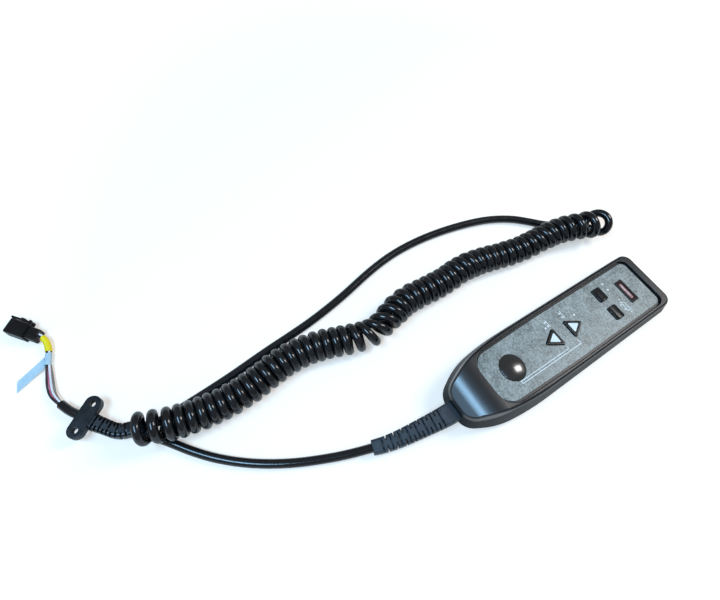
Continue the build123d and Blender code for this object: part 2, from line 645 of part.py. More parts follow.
# ------------------------------------------------------------------ rear cover
rear_outside = rear_form(0.0, BACK_EDGE_RADIUS)
rear_hollow = rear_form(WALL, BACK_EDGE_RADIUS - WALL)
with BuildPart() as rear_cover:
    add(rear_outside)
    add(rear_hollow, mode=Mode.SUBTRACT)
    with BuildSketch(Plane.XY.offset(JOINT_HEIGHT)):
        housing_face(WALL - TONGUE_THICK - TONGUE_GAP)
    extrude(amount=-TONGUE_DEPTH - SEAL_HEIGHT, mode=Mode.SUBTRACT)
    # posts round the housing screws, with counterbores from below
    with BuildSketch(Plane.XY.offset(WALL / 2)):
        with Locations(*CASE_SCREWS):
            Circle(CASE_HEAD_RADIUS + CASE_HEAD_GAP + CASE_POST_WALL)
    extrude(amount=JOINT_HEIGHT - WALL / 2)
    with BuildSketch(Plane.XY):
        with Locations(*CASE_SCREWS):
            Circle(CASE_HEAD_RADIUS + CASE_HEAD_GAP)
    extrude(amount=COUNTERBORE_DEEP, mode=Mode.SUBTRACT)
    with BuildSketch(Plane.XY):
        with Locations(*CASE_SCREWS):
            Circle(CASE_SCREW_RADIUS + SCREW_GAP)
    extrude(amount=JOINT_HEIGHT, mode=Mode.SUBTRACT)
    # stiffening ribs across the floor
    with BuildSketch(Plane.XY.offset(WALL / 2)):
        with Locations(*RIB_SPOTS):
            Rectangle(2 * (WIDEST_HALF - WALL - RIB_SIDE_GAP), RIB_THICK)
    extrude(amount=WALL / 2 + RIB_HEIGHT)
    # saddle and posts of the cord clamp
    with BuildSketch(Plane.XY.offset(WALL / 2)):
        with Locations((0, CLAMP_FROM_NOSE - END)):
            Rectangle(SADDLE_WIDE, CLAMP_LONG)
        with Locations(*CLAMP_SCREWS):
            Circle(CLAMP_LONG / 2)
    extrude(amount=CLAMP_SEAT - WALL / 2)
    with BuildSketch(Plane.XZ.offset(END - CLAMP_FROM_NOSE - CLAMP_LONG)):
        with Locations((0, JOINT_HEIGHT)):
            Circle(CORD_RADIUS + SADDLE_GAP)
        with Locations((0, JOINT_HEIGHT + CORD_RADIUS)):
            Rectangle(2 * (CORD_RADIUS + SADDLE_GAP), 2 * CORD_RADIUS)
    extrude(amount=2 * CLAMP_LONG, mode=Mode.SUBTRACT)
    with BuildSketch(Plane.XY.offset(CLAMP_SEAT)):
        with Locations(*CLAMP_SCREWS):
            Circle(CLAMP_SCREW_RADIUS + SCREW_GAP)
    extrude(amount=-CLAMP_SCREW_REACH - SCREW_ROOM, mode=Mode.SUBTRACT)
    # way out for the strain relief
    with BuildSketch(Plane.XZ.offset(END - 2 * WALL)):
        with Locations((0, JOINT_HEIGHT)):
            RectangleRounded(*ENTRY, RELIEF_CORNER)
    extrude(amount=2 * WALL + FORM_ROOM, mode=Mode.SUBTRACT)
keep("rear_cover", rear_cover.part)

# ------------------------------------------------------------------ seal between the covers
with BuildPart() as housing_seal:
    with BuildSketch(Plane.XY.offset(JOINT_HEIGHT - TONGUE_DEPTH)):
        housing_face(WALL - TONGUE_THICK)
        housing_face(WALL, mode=Mode.SUBTRACT)
    extrude(amount=-SEAL_HEIGHT)
    with Locations((0, -END, JOINT_HEIGHT)):
        Box(ENTRY[0], 2 * ENTRY_REACH, ENTRY[1], mode=Mode.SUBTRACT)
keep("housing_seal", housing_seal.part)

# ------------------------------------------------------------------ faceplate
with BuildPart() as faceplate:
    with BuildSketch(FACE.offset(-PLATE_FLOOR)):
        plate_face()
        with Locations((0, DISPLAY_AT)):
            RectangleRounded(DISPLAY_WIDE + 2 * DISPLAY_GAP, DISPLAY_LONG + 2 * DISPLAY_GAP,
                             DISPLAY_CORNER + DISPLAY_GAP, mode=Mode.SUBTRACT)
        with Locations(*STATUS_SPOTS):
            Circle(STATUS_RADIUS + SCREW_GAP, mode=Mode.SUBTRACT)
    extrude(amount=PLATE_THICK)
    for name in KEYS:
        with BuildSketch(key_plane(name, PLATE_FLOOR)):
            key_face(name, KEY_GAP)
        extrude(amount=PLATE_THICK, mode=Mode.SUBTRACT)
keep("faceplate", faceplate.part)

# ------------------------------------------------------------------ display
with BuildPart() as display_bezel:
    with BuildSketch(FACE.offset(-PLATE_FLOOR)):
        with Locations((0, DISPLAY_AT)):
            RectangleRounded(DISPLAY_WIDE, DISPLAY_LONG, DISPLAY_CORNER)
            Rectangle(DISPLAY_WIDE - 2 * DISPLAY_RIM, DISPLAY_LONG - 2 * DISPLAY_RIM, mode=Mode.SUBTRACT)
    extrude(amount=PLATE_THICK + DISPLAY_PROUD)
    chamfer(faces().sort_by(Axis(FACE.origin, FACE.z_dir))[-1].outer_wire().edges(), DISPLAY_EDGE)
keep("display_bezel", display_bezel.part)

with BuildPart() as display_lens:
    with BuildSketch(FACE.offset(-PLATE_FLOOR)):
        with Locations((0, DISPLAY_AT)):
            Rectangle(DISPLAY_WIDE - 2 * (DISPLAY_RIM + DISPLAY_GAP), DISPLAY_LONG - 2 * (DISPLAY_RIM + DISPLAY_GAP))
    extrude(amount=PLATE_THICK + LENS_PROUD)
keep("display_lens", display_lens.part)

with BuildPart() as display_module:
    with BuildSketch(FACE.offset(-BOARD_DEPTH)):
        with Locations((0, DISPLAY_AT)):
            Rectangle(DISPLAY_WIDE - 2 * (DISPLAY_RIM + 2 * DISPLAY_GAP),
                      DISPLAY_LONG - 2 * (DISPLAY_RIM + 2 * DISPLAY_GAP))
    extrude(amount=BOARD_DEPTH - PLATE_FLOOR - 2 * DISPLAY_GAP)
keep("display_module", display_module.part)

# ------------------------------------------------------------------ status windows over their LEDs
with BuildPart() as status_leds:
    with BuildSketch(FACE.offset(-BOARD_DEPTH)):
        with Locations(*STATUS_SPOTS):
            Rectangle(*LED_SIDES)
    extrude(amount=LED_HEIGHT)
keep("status_leds", status_leds.part)

with BuildPart() as status_windows:
    with BuildSketch(FACE.offset(LED_HEIGHT + SCREW_GAP - BOARD_DEPTH)):
        with Locations(*STATUS_SPOTS):
            Circle(STATUS_RADIUS)
    extrude(amount=BOARD_DEPTH - LED_HEIGHT - SCREW_GAP - PLATE_SUNK + WINDOW_PROUD)
keep("status_windows", status_windows.part)

# ------------------------------------------------------------------ keys
# A cap passes through the faceplate and the deck; its lip below the deck keeps it in.  The
# plunger under it enters the switch, and a rubber dome round the switch lifts it back.
for name in KEYS:
    with BuildPart() as button:
        with BuildSketch(key_plane(name, LIP_UNDER)):
            key_face(name)
        extrude(amount=LIP_UNDER - PLATE_SUNK + KEY_PROUD[name])
        if name == "stop":
            with Locations(key_plane(name, PLATE_SUNK - STOP_PROUD + STOP_CROWN).location):
                Sphere(STOP_CROWN, mode=Mode.INTERSECT)
        elif name in ("axle", "height"):
            with Locations(key_plane(name, PLATE_SUNK - SQUARE_PROUD + SQUARE_CROWN).location):
                Cylinder(SQUARE_CROWN, 2 * SQUARE_WIDE, rotation=(0, 90, 0), mode=Mode.INTERSECT)
        fillet(faces().sort_by(Axis(FACE.origin, FACE.z_dir))[-1].edges(), KEY_EDGE_RADIUS)
        with BuildSketch(key_plane(name, LIP_UNDER)):
            key_face(name, KEY_LIP)
        extrude(amount=LIP_THICK)
        if name in ("raise", "lower"):
            with BuildSketch(key_plane(name, PLATE_SUNK - ARROW_PROUD + INLAY_DEEP)):
                key_face(name, share=INLAY_SCALE)
            extrude(amount=INLAY_DEEP, mode=Mode.SUBTRACT)
    keep(f"{name}_button", button.part)

    with BuildPart() as plunger:
        with BuildSketch(key_plane(name, LIP_UNDER)):
            Circle(PLUNGER_RADIUS)
        extrude(amount=LIP_UNDER + KEY_TRAVEL + KEY_STOP_GAP - BOARD_DEPTH)
    keep(f"{name}_plunger", plunger.part)

    middle = key_plane(name, BOARD_DEPTH)
    with BuildPart() as dome:
        with BuildSketch(Plane(origin=middle.origin, x_dir=middle.x_dir, z_dir=-middle.y_dir)):
            Polygon(
                (DOME_FOOT - DOME_WALL, 0), (DOME_FOOT, 0), (DOME_TOP, DOME_HIGH), (DOME_TOP - DOME_WALL, DOME_HIGH),
                align=None,
            )
        revolve(axis=Axis(middle.origin, middle.z_dir))
    keep(f"{name}_dome", dome.part)

for name in ("raise", "lower"):
    with BuildPart() as inlay:
        with BuildSketch(key_plane(name, PLATE_SUNK - ARROW_PROUD + INLAY_DEEP)):
            key_face(name, share=INLAY_SCALE)
        extrude(amount=INLAY_DEEP - INLAY_SUNK)
    keep(f"{name}_inlay", inlay.part)

# ------------------------------------------------------------------ circuit board and what is on it
with BuildPart() as circuit_board:
    with BuildSketch(FACE.offset(-BOARD_DEPTH)):
        with Locations((0, (BOARD_START + BOARD_END) / 2)):
            RectangleRounded(2 * BOARD_HALF, BOARD_END - BOARD_START, BOARD_CORNER)
        with Locations(*BOARD_SCREWS):
            Circle(BOARD_SCREW_RADIUS + SCREW_GAP, mode=Mode.SUBTRACT)
    extrude(amount=-BOARD_THICK)
keep("circuit_board", circuit_board.part)

with BuildPart() as switch_bodies:
    with BuildSketch(FACE.offset(-BOARD_DEPTH)):
        with Locations(*KEYS.values()):
            Rectangle(SWITCH_SIDE, SWITCH_SIDE)
            Circle(PLUNGER_RADIUS + PLUNGER_GAP, mode=Mode.SUBTRACT)
    extrude(amount=SWITCH_HEIGHT)
keep("switch_bodies", switch_bodies.part)

with BuildPart() as controller_chip:
    with BuildSketch(FACE.offset(-BOARD_DEPTH)):
        with Locations((0, CHIP_AT)):
            Rectangle(CHIP_SIDE, CHIP_SIDE)
    extrude(amount=CHIP_HEIGHT)
keep("controller_chip", controller_chip.part)

with BuildPart() as board_parts:
    with BuildSketch(FACE.offset(-BOARD_DEPTH)):
        with Locations(*CAPACITOR_SPOTS):
            Circle(CAPACITOR_RADIUS)
    extrude(amount=CAPACITOR_HEIGHT)
    with BuildSketch(FACE.offset(-BOARD_DEPTH)):
        with Locations(*SMALL_PART_SPOTS):
            Rectangle(*SMALL_PART[:2])
    extrude(amount=SMALL_PART[2])
keep("board_parts", board_parts.part)

# ------------------------------------------------------------------ screws
with BuildPart() as board_screws:
    with BuildSketch(FACE.offset(-BOARD_UNDER)):
        with Locations(*BOARD_SCREWS):
            Circle(BOARD_HEAD_RADIUS)
    extrude(amount=-BOARD_HEAD_HEIGHT)
    with BuildSketch(FACE.offset(-BOARD_UNDER)):
        with Locations(*BOARD_SCREWS):
            Circle(BOARD_SCREW_RADIUS)
    extrude(amount=BOARD_THICK + BOARD_SCREW_REACH)
keep("board_screws", board_screws.part)

with BuildPart() as housing_screws:
    with BuildSketch(Plane.XY.offset(COUNTERBORE_DEEP)):
        with Locations(*CASE_SCREWS):
            Circle(CASE_HEAD_RADIUS)
    extrude(amount=-CASE_HEAD_HEIGHT)
    with BuildSketch(Plane.XY.offset(COUNTERBORE_DEEP)):
        with Locations(*CASE_SCREWS):
            Circle(CASE_SCREW_RADIUS)
    extrude(amount=JOINT_HEIGHT + CASE_SCREW_REACH - COUNTERBORE_DEEP)
    with BuildSketch(Plane.XY.offset(COUNTERBORE_DEEP - CASE_HEAD_HEIGHT)):
        with Locations(*CASE_SCREWS):
            Rectangle(RECESS_WIDE, RECESS_SLOT)
            Rectangle(RECESS_SLOT, RECESS_WIDE)
    extrude(amount=RECESS_DEEP, mode=Mode.SUBTRACT)
keep("housing_screws", housing_screws.part)

# ------------------------------------------------------------------ cord inside the housing
with BuildPart() as cord_entry:
    with BuildSketch(Plane.XZ.offset(END - JACKET_FROM_NOSE)):
        with Locations((0, JOINT_HEIGHT)):
            Circle(CORD_RADIUS)
    extrude(amount=JACKET_FROM_NOSE - NECK_FLANGE_AT - NECK_FLANGE[2])
keep("cord_entry", cord_entry.part)

header_plane = Plane(FACE.offset(-BOARD_UNDER).location * Location((0, HEADER_AT, 0)))
with BuildPart() as board_header:
    with BuildSketch(header_plane):
        Rectangle(*HEADER_SIZE[:2])
    extrude(amount=-HEADER_SIZE[2])
keep("board_header", board_header.part)

socket_plane = Plane(header_plane.offset((SOCKET_SIZE[2] - HEADER_SIZE[2]) / 2).location
                     * Location((0, -(HEADER_SIZE[1] + SOCKET_SIZE[1]) / 2, 0)))
with BuildPart() as header_plug:
    with BuildSketch(socket_plane):
        Rectangle(*SOCKET_SIZE[:2])
    extrude(amount=-SOCKET_SIZE[2])
keep("header_plug", header_plug.part)

core_start = JACKET_FROM_NOSE - END
core_end = (socket_plane * Location((0, -SOCKET_SIZE[1] / 2, -SOCKET_SIZE[2] / 2))).position
with BuildPart() as cord_cores:
    for place in range(CORES):
        across = (place - (CORES - 1) / 2) * CORE_PITCH
        ahead = FACE.y_dir * CORE_LEAD
        path = cord_path([
            (across, core_start, JOINT_HEIGHT), (across, core_start + CORE_LEAD, JOINT_HEIGHT),
            (across, core_end.Y - ahead.Y, core_end.Z - ahead.Z), (across, core_end.Y, core_end.Z),
        ])
        with BuildSketch(section_plane(path, 0)):
            Circle(CORE_RADIUS)
        sweep(path=path)
keep("cord_cores", cord_cores.part)

with BuildPart() as cord_clamp:
    with BuildSketch(Plane.XY.offset(CLAMP_SEAT)):
        with Locations((0, CLAMP_FROM_NOSE - END)):
            SlotOverall(CLAMP_WIDE, CLAMP_LONG)
        with Locations(*CLAMP_SCREWS):
            Circle(CLAMP_SCREW_RADIUS + SCREW_GAP, mode=Mode.SUBTRACT)
    extrude(amount=CLAMP_THICK)
    with BuildSketch(Plane.XY.offset(CLAMP_SEAT + CLAMP_THICK)):
        with Locations((0, CLAMP_FROM_NOSE - END)):
            Rectangle(2 * CORD_RADIUS, CLAMP_RIB)
    extrude(amount=CLAMP_RIB)
keep("cord_clamp", cord_clamp.part)

with BuildPart() as clamp_screws:
    with BuildSketch(Plane.XY.offset(CLAMP_SEAT + CLAMP_THICK)):
        with Locations(*CLAMP_SCREWS):
            Circle(CLAMP_HEAD_RADIUS)
    extrude(amount=CLAMP_HEAD_HEIGHT)
    with BuildSketch(Plane.XY.offset(CLAMP_SEAT + CLAMP_THICK)):
        with Locations(*CLAMP_SCREWS):
            Circle(CLAMP_SCREW_RADIUS)
    extrude(amount=-CLAMP_THICK - CLAMP_SCREW_REACH)
keep("clamp_screws", clamp_screws.part)

# ------------------------------------------------------------------ strain relief at the housing
relief_outside = strain_relief(RELIEF_ROUTE, RELIEF_ROOT, RELIEF_TIP, RELIEF_COLLAR, RELIEF_PAIRS, RELIEF_TAIL)
with BuildPart() as handset_strain_relief:
    add(relief_outside)
    # neck that passes through the nose, and the flange that holds it from inside
    with BuildSketch(Plane.XZ.offset(END + NECK_OVERLAP)):
        with Locations((0, JOINT_HEIGHT)):
            RectangleRounded(*RELIEF_ROOT, RELIEF_CORNER)
    extrude(amount=-(NECK_OVERLAP + NECK_FLANGE_AT + NECK_FLANGE[2]))
    with BuildSketch(Plane.XZ.offset(END - NECK_FLANGE_AT)):
        with Locations((0, JOINT_HEIGHT)):
            RectangleRounded(NECK_FLANGE[0], NECK_FLANGE[1], RELIEF_CORNER)
    extrude(amount=-NECK_FLANGE[2])
keep("handset_strain_relief", handset_strain_relief.part)

# ------------------------------------------------------------------ cords
keep("handset_lead", cord_tube("handset_lead", LEAD_ROUTE, CORD_DIAMETER))
keep("coiled_cord", cord_tube("coiled_cord", COIL_ROUTE, COIL_DIAMETER))
keep("return_lead", cord_tube("return_lead", RETURN_ROUTE, CORD_DIAMETER))

# ------------------------------------------------------------------ far strain relief and mounting flange
keep("flange_strain_relief", strain_relief(
    FAR_RELIEF_ROUTE, FAR_RELIEF_ROOT, FAR_RELIEF_TIP, FAR_RELIEF_COLLAR, FAR_RELIEF_PAIRS, FAR_RELIEF_TAIL))

flange_start = Vector(*FAR_RELIEF_ROUTE[0])
flange_way = (flange_start - Vector(*FAR_RELIEF_ROUTE[1])).normalized()
FLANGE = Plane(origin=(flange_start.X, flange_start.Y, 0), x_dir=flange_way, z_dir=(0, 0, 1))
FLANGE_HOLES = [(FLANGE_WIDTH / 2, side * FLANGE_HOLE_SPACING / 2) for side in (-1, 1)]
with BuildPart() as mounting_flange:
    with BuildSketch(FLANGE.offset(FLANGE_TOP - FLANGE_THICK)):
        with Locations((FLANGE_WIDTH / 2, 0)):
            SlotOverall(FLANGE_LENGTH, FLANGE_WIDTH, rotation=90)
    extrude(amount=FLANGE_THICK)
    fillet(faces().sort_by(Axis.Z)[-1].edges(), FLANGE_EDGE)
    with BuildSketch(FLANGE):
        with Locations((FLANGE_WIDTH / 2, 0)):
            RectangleRounded(FLANGE_WIDTH, HUB_WIDTH, HUB_CORNER)
    extrude(amount=FLANGE_TOP - HUB_DROP)
    with BuildSketch(FLANGE.offset(FLANGE_TOP)):
        with Locations(*FLANGE_HOLES):
            Circle(FLANGE_HOLE_RADIUS)
    extrude(amount=-FLANGE_TOP, mode=Mode.SUBTRACT)
keep("mounting_flange", mounting_flange.part)

jacket_start = (FLANGE * Location((FLANGE_WIDTH, 0, CABLE_LEVEL))).position
JACKET_ROUTE = [jacket_start, jacket_start + flange_way * JACKET_LEAD, Vector(*WIRE_ROUTE[0])]
keep("jacket_end", cord_tube("jacket_end", JACKET_ROUTE, CORD_DIAMETER))

# ------------------------------------------------------------------ wires, sleeve and label
wire_spots = {"wire_black": (-1, 1), "wire_red": (1, 1), "wire_white": (-1, -1), "wire_grey": (1, -1)}
for name, (side, top) in wire_spots.items():
    keep(name, cord_tube(name, WIRE_ROUTE, WIRE_DIAMETER, (side * WIRE_OFFSET, top * WIRE_OFFSET)))

wire_path = cord_path(WIRE_ROUTE)
sleeve_path = wire_path.trim(SLEEVE_SPAN[0] / wire_path.length, SLEEVE_SPAN[1] / wire_path.length)
with BuildPart() as yellow_sleeve:
    with BuildSketch(section_plane(sleeve_path, 0)):
        Circle(BUNDLE_BORE + SLEEVE_WALL)
        Circle(BUNDLE_BORE, mode=Mode.SUBTRACT)
    sweep(path=sleeve_path)
keep("yellow_sleeve", yellow_sleeve.part)

# a paper flag: wrapped round the wires, its two ends together as a tail down to the floor
label_path = wire_path.trim(LABEL_SPAN[0] / wire_path.length, LABEL_SPAN[1] / wire_path.length)
heading, drop = radians(LABEL_HEADING), radians(LABEL_DROP)
tail_plane = Plane(
    origin=label_path @ 0.5,
    x_dir=(cos(heading) * cos(drop), sin(heading) * cos(drop), -sin(drop)),
    z_dir=(cos(heading) * sin(drop), sin(heading) * sin(drop), cos(drop)),
)
with BuildPart() as label_flag:
    with BuildSketch(section_plane(label_path, 0)):
        Circle(BUNDLE_BORE + LABEL_PAPER)
    sweep(path=label_path)
    with BuildSketch(tail_plane):
        Polygon(
            (-LABEL_SLANT, -LABEL_WIDE / 2), (LABEL_SLANT, LABEL_WIDE / 2),
            (LABEL_LONG + LABEL_SLANT, LABEL_WIDE / 2), (LABEL_LONG - LABEL_SLANT, -LABEL_WIDE / 2),
            align=None,
        )
    extrude(amount=LABEL_PAPER / 2, both=True)
    with BuildSketch(section_plane(wire_path, 0)):
        Circle(BUNDLE_BORE)
    sweep(path=wire_path, mode=Mode.SUBTRACT)
keep("label_flag", label_flag.part)

# ------------------------------------------------------------------ connector
# Along its own plane's z axis, from the collar where the wires enter to the mating face.
plug_start = Vector(*WIRE_ROUTE[-1])
plug_way = (plug_start - Vector(*WIRE_ROUTE[-2])).normalized()
PLUG = Plane(origin=plug_start, x_dir=Vector(0, 0, 1).cross(-plug_way), z_dir=plug_way)
PLUG_END = COLLAR_LENGTH + PLUG_LENGTH
SEAL_SIDES = (COLLAR_WIDTH - 2 * COLLAR_WALL, COLLAR_HEIGHT - 2 * COLLAR_WALL)
# the latch swings in the plane through its pin, with +x towards the mating face
LATCH = Plane(
    origin=(PLUG * Location((PLUG_WIDTH / 2 + LATCH_STAND, 0, LATCH_PIVOT_AT))).position,
    x_dir=plug_way, z_dir=(0, 0, 1),
)
with BuildPart() as connector_housing:
    with BuildSketch(PLUG):
        RectangleRounded(COLLAR_WIDTH, COLLAR_HEIGHT, COLLAR_CORNER)
    extrude(amount=COLLAR_LENGTH)
    with BuildSketch(PLUG.offset(COLLAR_LENGTH)):
        RectangleRounded(PLUG_WIDTH, PLUG_HEIGHT, PLUG_CORNER)
    extrude(amount=PLUG_LENGTH)
    chamfer(faces().sort_by(Axis(PLUG.origin, PLUG.z_dir))[-1].edges(), PLUG_EDGE)
    # lugs that hold the latch's pin
    for way in (-1, 1):
        with BuildSketch(LATCH.offset(way * (LATCH_HIGH / 2 + LUG_GAP))):
            Circle(LUG_RADIUS)
            with Locations((0, LATCH_STAND / 2)):
                Rectangle(2 * LUG_RADIUS, LATCH_STAND)
            Circle(LATCH_PIN_RADIUS + LATCH_PIN_GAP, mode=Mode.SUBTRACT)
        extrude(amount=way * LUG_THICK)
    # seats of the wire seal and of the terminal lock, with the terminals' cavities between
    with BuildSketch(PLUG):
        RectangleRounded(*SEAL_SIDES, COLLAR_CORNER - COLLAR_WALL / 2)
    extrude(amount=WIRE_SEAL_DEEP, mode=Mode.SUBTRACT)
    with BuildSketch(PLUG.offset(WIRE_SEAL_DEEP)):
        with GridLocations(TERMINAL_PITCH, TERMINAL_PITCH, 2, 2):
            Rectangle(TERMINAL_SIDE + 2 * CAVITY_GAP, TERMINAL_SIDE + 2 * CAVITY_GAP)
    extrude(amount=PLUG_END - WIRE_SEAL_DEEP, mode=Mode.SUBTRACT)
    with BuildSketch(PLUG.offset(PLUG_END)):
        Rectangle(LOCK_SIZE[0] + 2 * LOCK_GAP, LOCK_SIZE[1] + 2 * LOCK_GAP)
    extrude(amount=-LOCK_SIZE[2], mode=Mode.SUBTRACT)
keep("connector_housing", connector_housing.part)

with BuildPart() as connector_seal:
    with BuildSketch(PLUG):
        RectangleRounded(*SEAL_SIDES, COLLAR_CORNER - COLLAR_WALL / 2)
    extrude(amount=WIRE_SEAL_DEEP)
keep("connector_seal", connector_seal.part)

with BuildPart() as terminal_lock:
    with BuildSketch(PLUG.offset(PLUG_END)):
        Rectangle(*LOCK_SIZE[:2])
        with GridLocations(TERMINAL_PITCH, TERMINAL_PITCH, 2, 2):
            Rectangle(TERMINAL_SIDE, TERMINAL_SIDE, mode=Mode.SUBTRACT)
    extrude(amount=-LOCK_SIZE[2])
keep("terminal_lock", terminal_lock.part)

with BuildPart() as contact_terminals:
    with BuildSketch(PLUG.offset(WIRE_SEAL_DEEP)):
        with GridLocations(TERMINAL_PITCH, TERMINAL_PITCH, 2, 2):
            Rectangle(TERMINAL_SIDE, TERMINAL_SIDE)
    extrude(amount=PLUG_END - WIRE_SEAL_DEEP - LOCK_SIZE[2])
keep("contact_terminals", contact_terminals.part)

with BuildPart() as connector_latch:
    with BuildSketch(LATCH):
        Circle(LATCH_THICK)
        with Locations((LATCH_LONG / 2, 0)):
            Rectangle(LATCH_LONG, LATCH_THICK)
        # thumb ridge outside, and the hook past the mating face
        with Locations((THUMB_AT, -LATCH_THICK / 2)):
            RectangleRounded(THUMB_LONG, THUMB_HIGH * 2, THUMB_HIGH / 2)
        with BuildLine():
            Polyline(
                (LATCH_LONG, -LATCH_THICK / 2), (LATCH_LONG, LATCH_THICK / 2),
                (LATCH_LONG - HOOK_LONG / 2, LATCH_THICK / 2 + HOOK_HIGH),
                (LATCH_LONG - HOOK_LONG, LATCH_THICK / 2 + HOOK_HIGH),
                (LATCH_LONG - HOOK_LONG, -LATCH_THICK / 2), close=True,
            )
        make_face()
    extrude(amount=LATCH_HIGH / 2, both=True)
    with BuildSketch(LATCH):
        Circle(LATCH_PIN_RADIUS)
    extrude(amount=LATCH_HIGH / 2 + LUG_GAP + LUG_THICK, both=True)
keep("connector_latch", connector_latch.part)
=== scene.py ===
"""A pendant control station: a wired hand control with push keys and a small display, its
curly cord, a mounting flange and a small connector. Metres, in the frame of its solids."""

from math import cos, pi, radians, sin

import bpy
import numpy as np
from mathutils import Matrix, Vector


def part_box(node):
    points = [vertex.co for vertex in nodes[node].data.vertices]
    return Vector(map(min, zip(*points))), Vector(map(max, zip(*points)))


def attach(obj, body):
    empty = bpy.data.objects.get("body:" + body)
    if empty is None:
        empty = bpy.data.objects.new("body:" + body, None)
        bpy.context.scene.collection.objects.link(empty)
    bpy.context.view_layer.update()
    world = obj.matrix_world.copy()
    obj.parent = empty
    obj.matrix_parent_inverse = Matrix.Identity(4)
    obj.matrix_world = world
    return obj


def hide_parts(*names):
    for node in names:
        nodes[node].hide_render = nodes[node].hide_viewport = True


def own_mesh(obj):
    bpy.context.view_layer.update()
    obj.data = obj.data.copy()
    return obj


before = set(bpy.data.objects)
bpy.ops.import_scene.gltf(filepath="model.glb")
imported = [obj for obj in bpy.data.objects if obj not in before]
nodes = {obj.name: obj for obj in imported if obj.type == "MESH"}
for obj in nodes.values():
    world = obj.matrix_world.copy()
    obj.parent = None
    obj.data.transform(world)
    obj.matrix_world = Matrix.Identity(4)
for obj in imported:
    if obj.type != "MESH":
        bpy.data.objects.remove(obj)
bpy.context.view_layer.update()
scene = bpy.context.scene
scene.view_settings.view_transform = "Standard"

# ------------------------------------------------------------------ camera
# A short lens held over the table at the cable end of the hand control, looking down
# across it towards the connector's side, with the camera turned a little on its axis.
EYE = Vector((0.0329, -0.2132, 0.35575))
LOOK_ACROSS = Vector((-0.778, 0.628, 0.0)).normalized()
LOOK_DOWN = radians(63.0)
LOOK_TURN = radians(6.0)
UP = Vector((0, 0, 1))
ahead = LOOK_ACROSS * cos(LOOK_DOWN) - UP * sin(LOOK_DOWN)
right = ahead.cross(UP).normalized()
above = right.cross(ahead)
camera = bpy.data.objects.new("camera", bpy.data.cameras.new("camera"))
camera.data.sensor_width = 36.0
camera.data.lens = 26.0
camera.data.clip_start = 0.01
camera_right = right * cos(LOOK_TURN) + above * sin(LOOK_TURN)
camera_above = above * cos(LOOK_TURN) - right * sin(LOOK_TURN)
facing = Matrix((camera_right, camera_above, -ahead)).transposed().to_4x4()
camera.matrix_world = Matrix.Translation(EYE) @ facing
scene.collection.objects.link(camera)
scene.camera = camera

# ------------------------------------------------------------------ curly cord
# One round cable in a glossy black polyurethane jacket. It leaves the hand control's
# strain relief straight, is wound and heat-set into a close helix, and runs back straight
# beside the coil to the mounting flange.
CORD_DIAMETER = 0.0062
TURN_SWELL = 1.06           # the jacket is a little thicker where it is wound
TURN_POINTS = 13            # of the spline, round each turn
# Control points in millimetres: the straight part from the hand control, the coil's axis,
# and the straight part that runs back.
LEAD = np.array([
    (-10.2, -154.6, 5.0), (-15.0, -169.0, 3.86), (-22.4, -186.5, 3.2), (-31.6, -205.4, 3.1),
    (-44.6, -225.6, 3.1), (-59.6, -243.0, 3.1), (-74.2, -255.6, 3.1), (-85.5, -263.6, 3.1),
    (-93.4, -269.8, 3.3), (-98.6, -276.2, 6.4),
]) / 1000
COIL = np.array([
    (-100.0, -276.6, 18.5), (-95.5, -266.6, 18.4), (-90.5, -252.2, 17.0), (-87.9, -234.4, 13.9),
    (-86.9, -216.1, 12.25), (-88.0, -198.3, 12.15), (-91.3, -180.6, 12.15),
    (-91.8, -162.7, 12.05), (-88.2, -145.2, 11.95), (-81.4, -128.0, 11.95),
    (-76.3, -110.9, 11.95), (-80.0, -93.6, 11.65), (-85.3, -76.1, 11.5), (-83.9, -58.4, 11.4),
    (-82.7, -40.4, 11.35), (-84.7, -22.5, 11.15), (-82.4, -5.0, 10.95), (-77.4, 12.5, 10.95),
    (-73.4, 30.0, 11.1), (-72.0, 47.9, 12.0), (-69.9, 65.0, 14.6), (-63.3, 81.4, 17.0),
    (-58.4, 93.0, 17.0), (-57.0, 102.8, 14.0),
]) / 1000
# turn number; how far along the coil's axis it is and its radius to the middle of the
# cable, in millimetres; its lean to the side and back, in degrees
TURNS = np.array([
    (0.0, 0.0, 8.1, 2, 0), (0.5, 2.4, 8.1, 4, 0), (1.5, 12.0, 8.2, 6, 0), (2.5, 20.5, 8.2, 8, 0),
    (4.5, 34.2, 8.2, 10, 0), (8.5, 61.6, 8.2, 10, 0), (14.5, 103.1, 8.2, 8, 0),
    (18.5, 130.0, 8.1, 4, 0), (21.5, 149.6, 8.0, 2, 0), (22.5, 157.6, 7.9, -4, 0),
    (23.5, 166.2, 7.8, -13, 2), (24.5, 175.2, 7.7, -24, 4), (25.5, 184.2, 7.8, -25, 2),
    (26.5, 192.6, 8.0, -13, 0), (27.5, 200.2, 8.0, -2, 0), (28.5, 207.8, 7.9, 3, 0),
    (30.5, 221.6, 7.8, 5, 0), (34.5, 247.8, 7.7, 6, 0), (36.5, 262.0, 7.7, -8, 0),
    (37.5, 268.6, 7.7, -12, 0), (38.5, 275.0, 7.5, -2, 0), (41.5, 294.6, 7.2, 0, 0),
    (44.5, 314.9, 7.2, 4, 0), (46.5, 329.3, 7.3, -6, 0), (47.5, 336.2, 7.5, -12, 0),
    (48.5, 342.8, 7.5, -4, 0), (50.5, 357.0, 7.6, 0, -2), (51.5, 365.0, 7.7, 0, -4),
    (52.5, 374.4, 7.9, 0, -8), (53.5, 386.2, 8.0, 2, -20), (54.0, 390.0, 8.0, 2, -22),
])
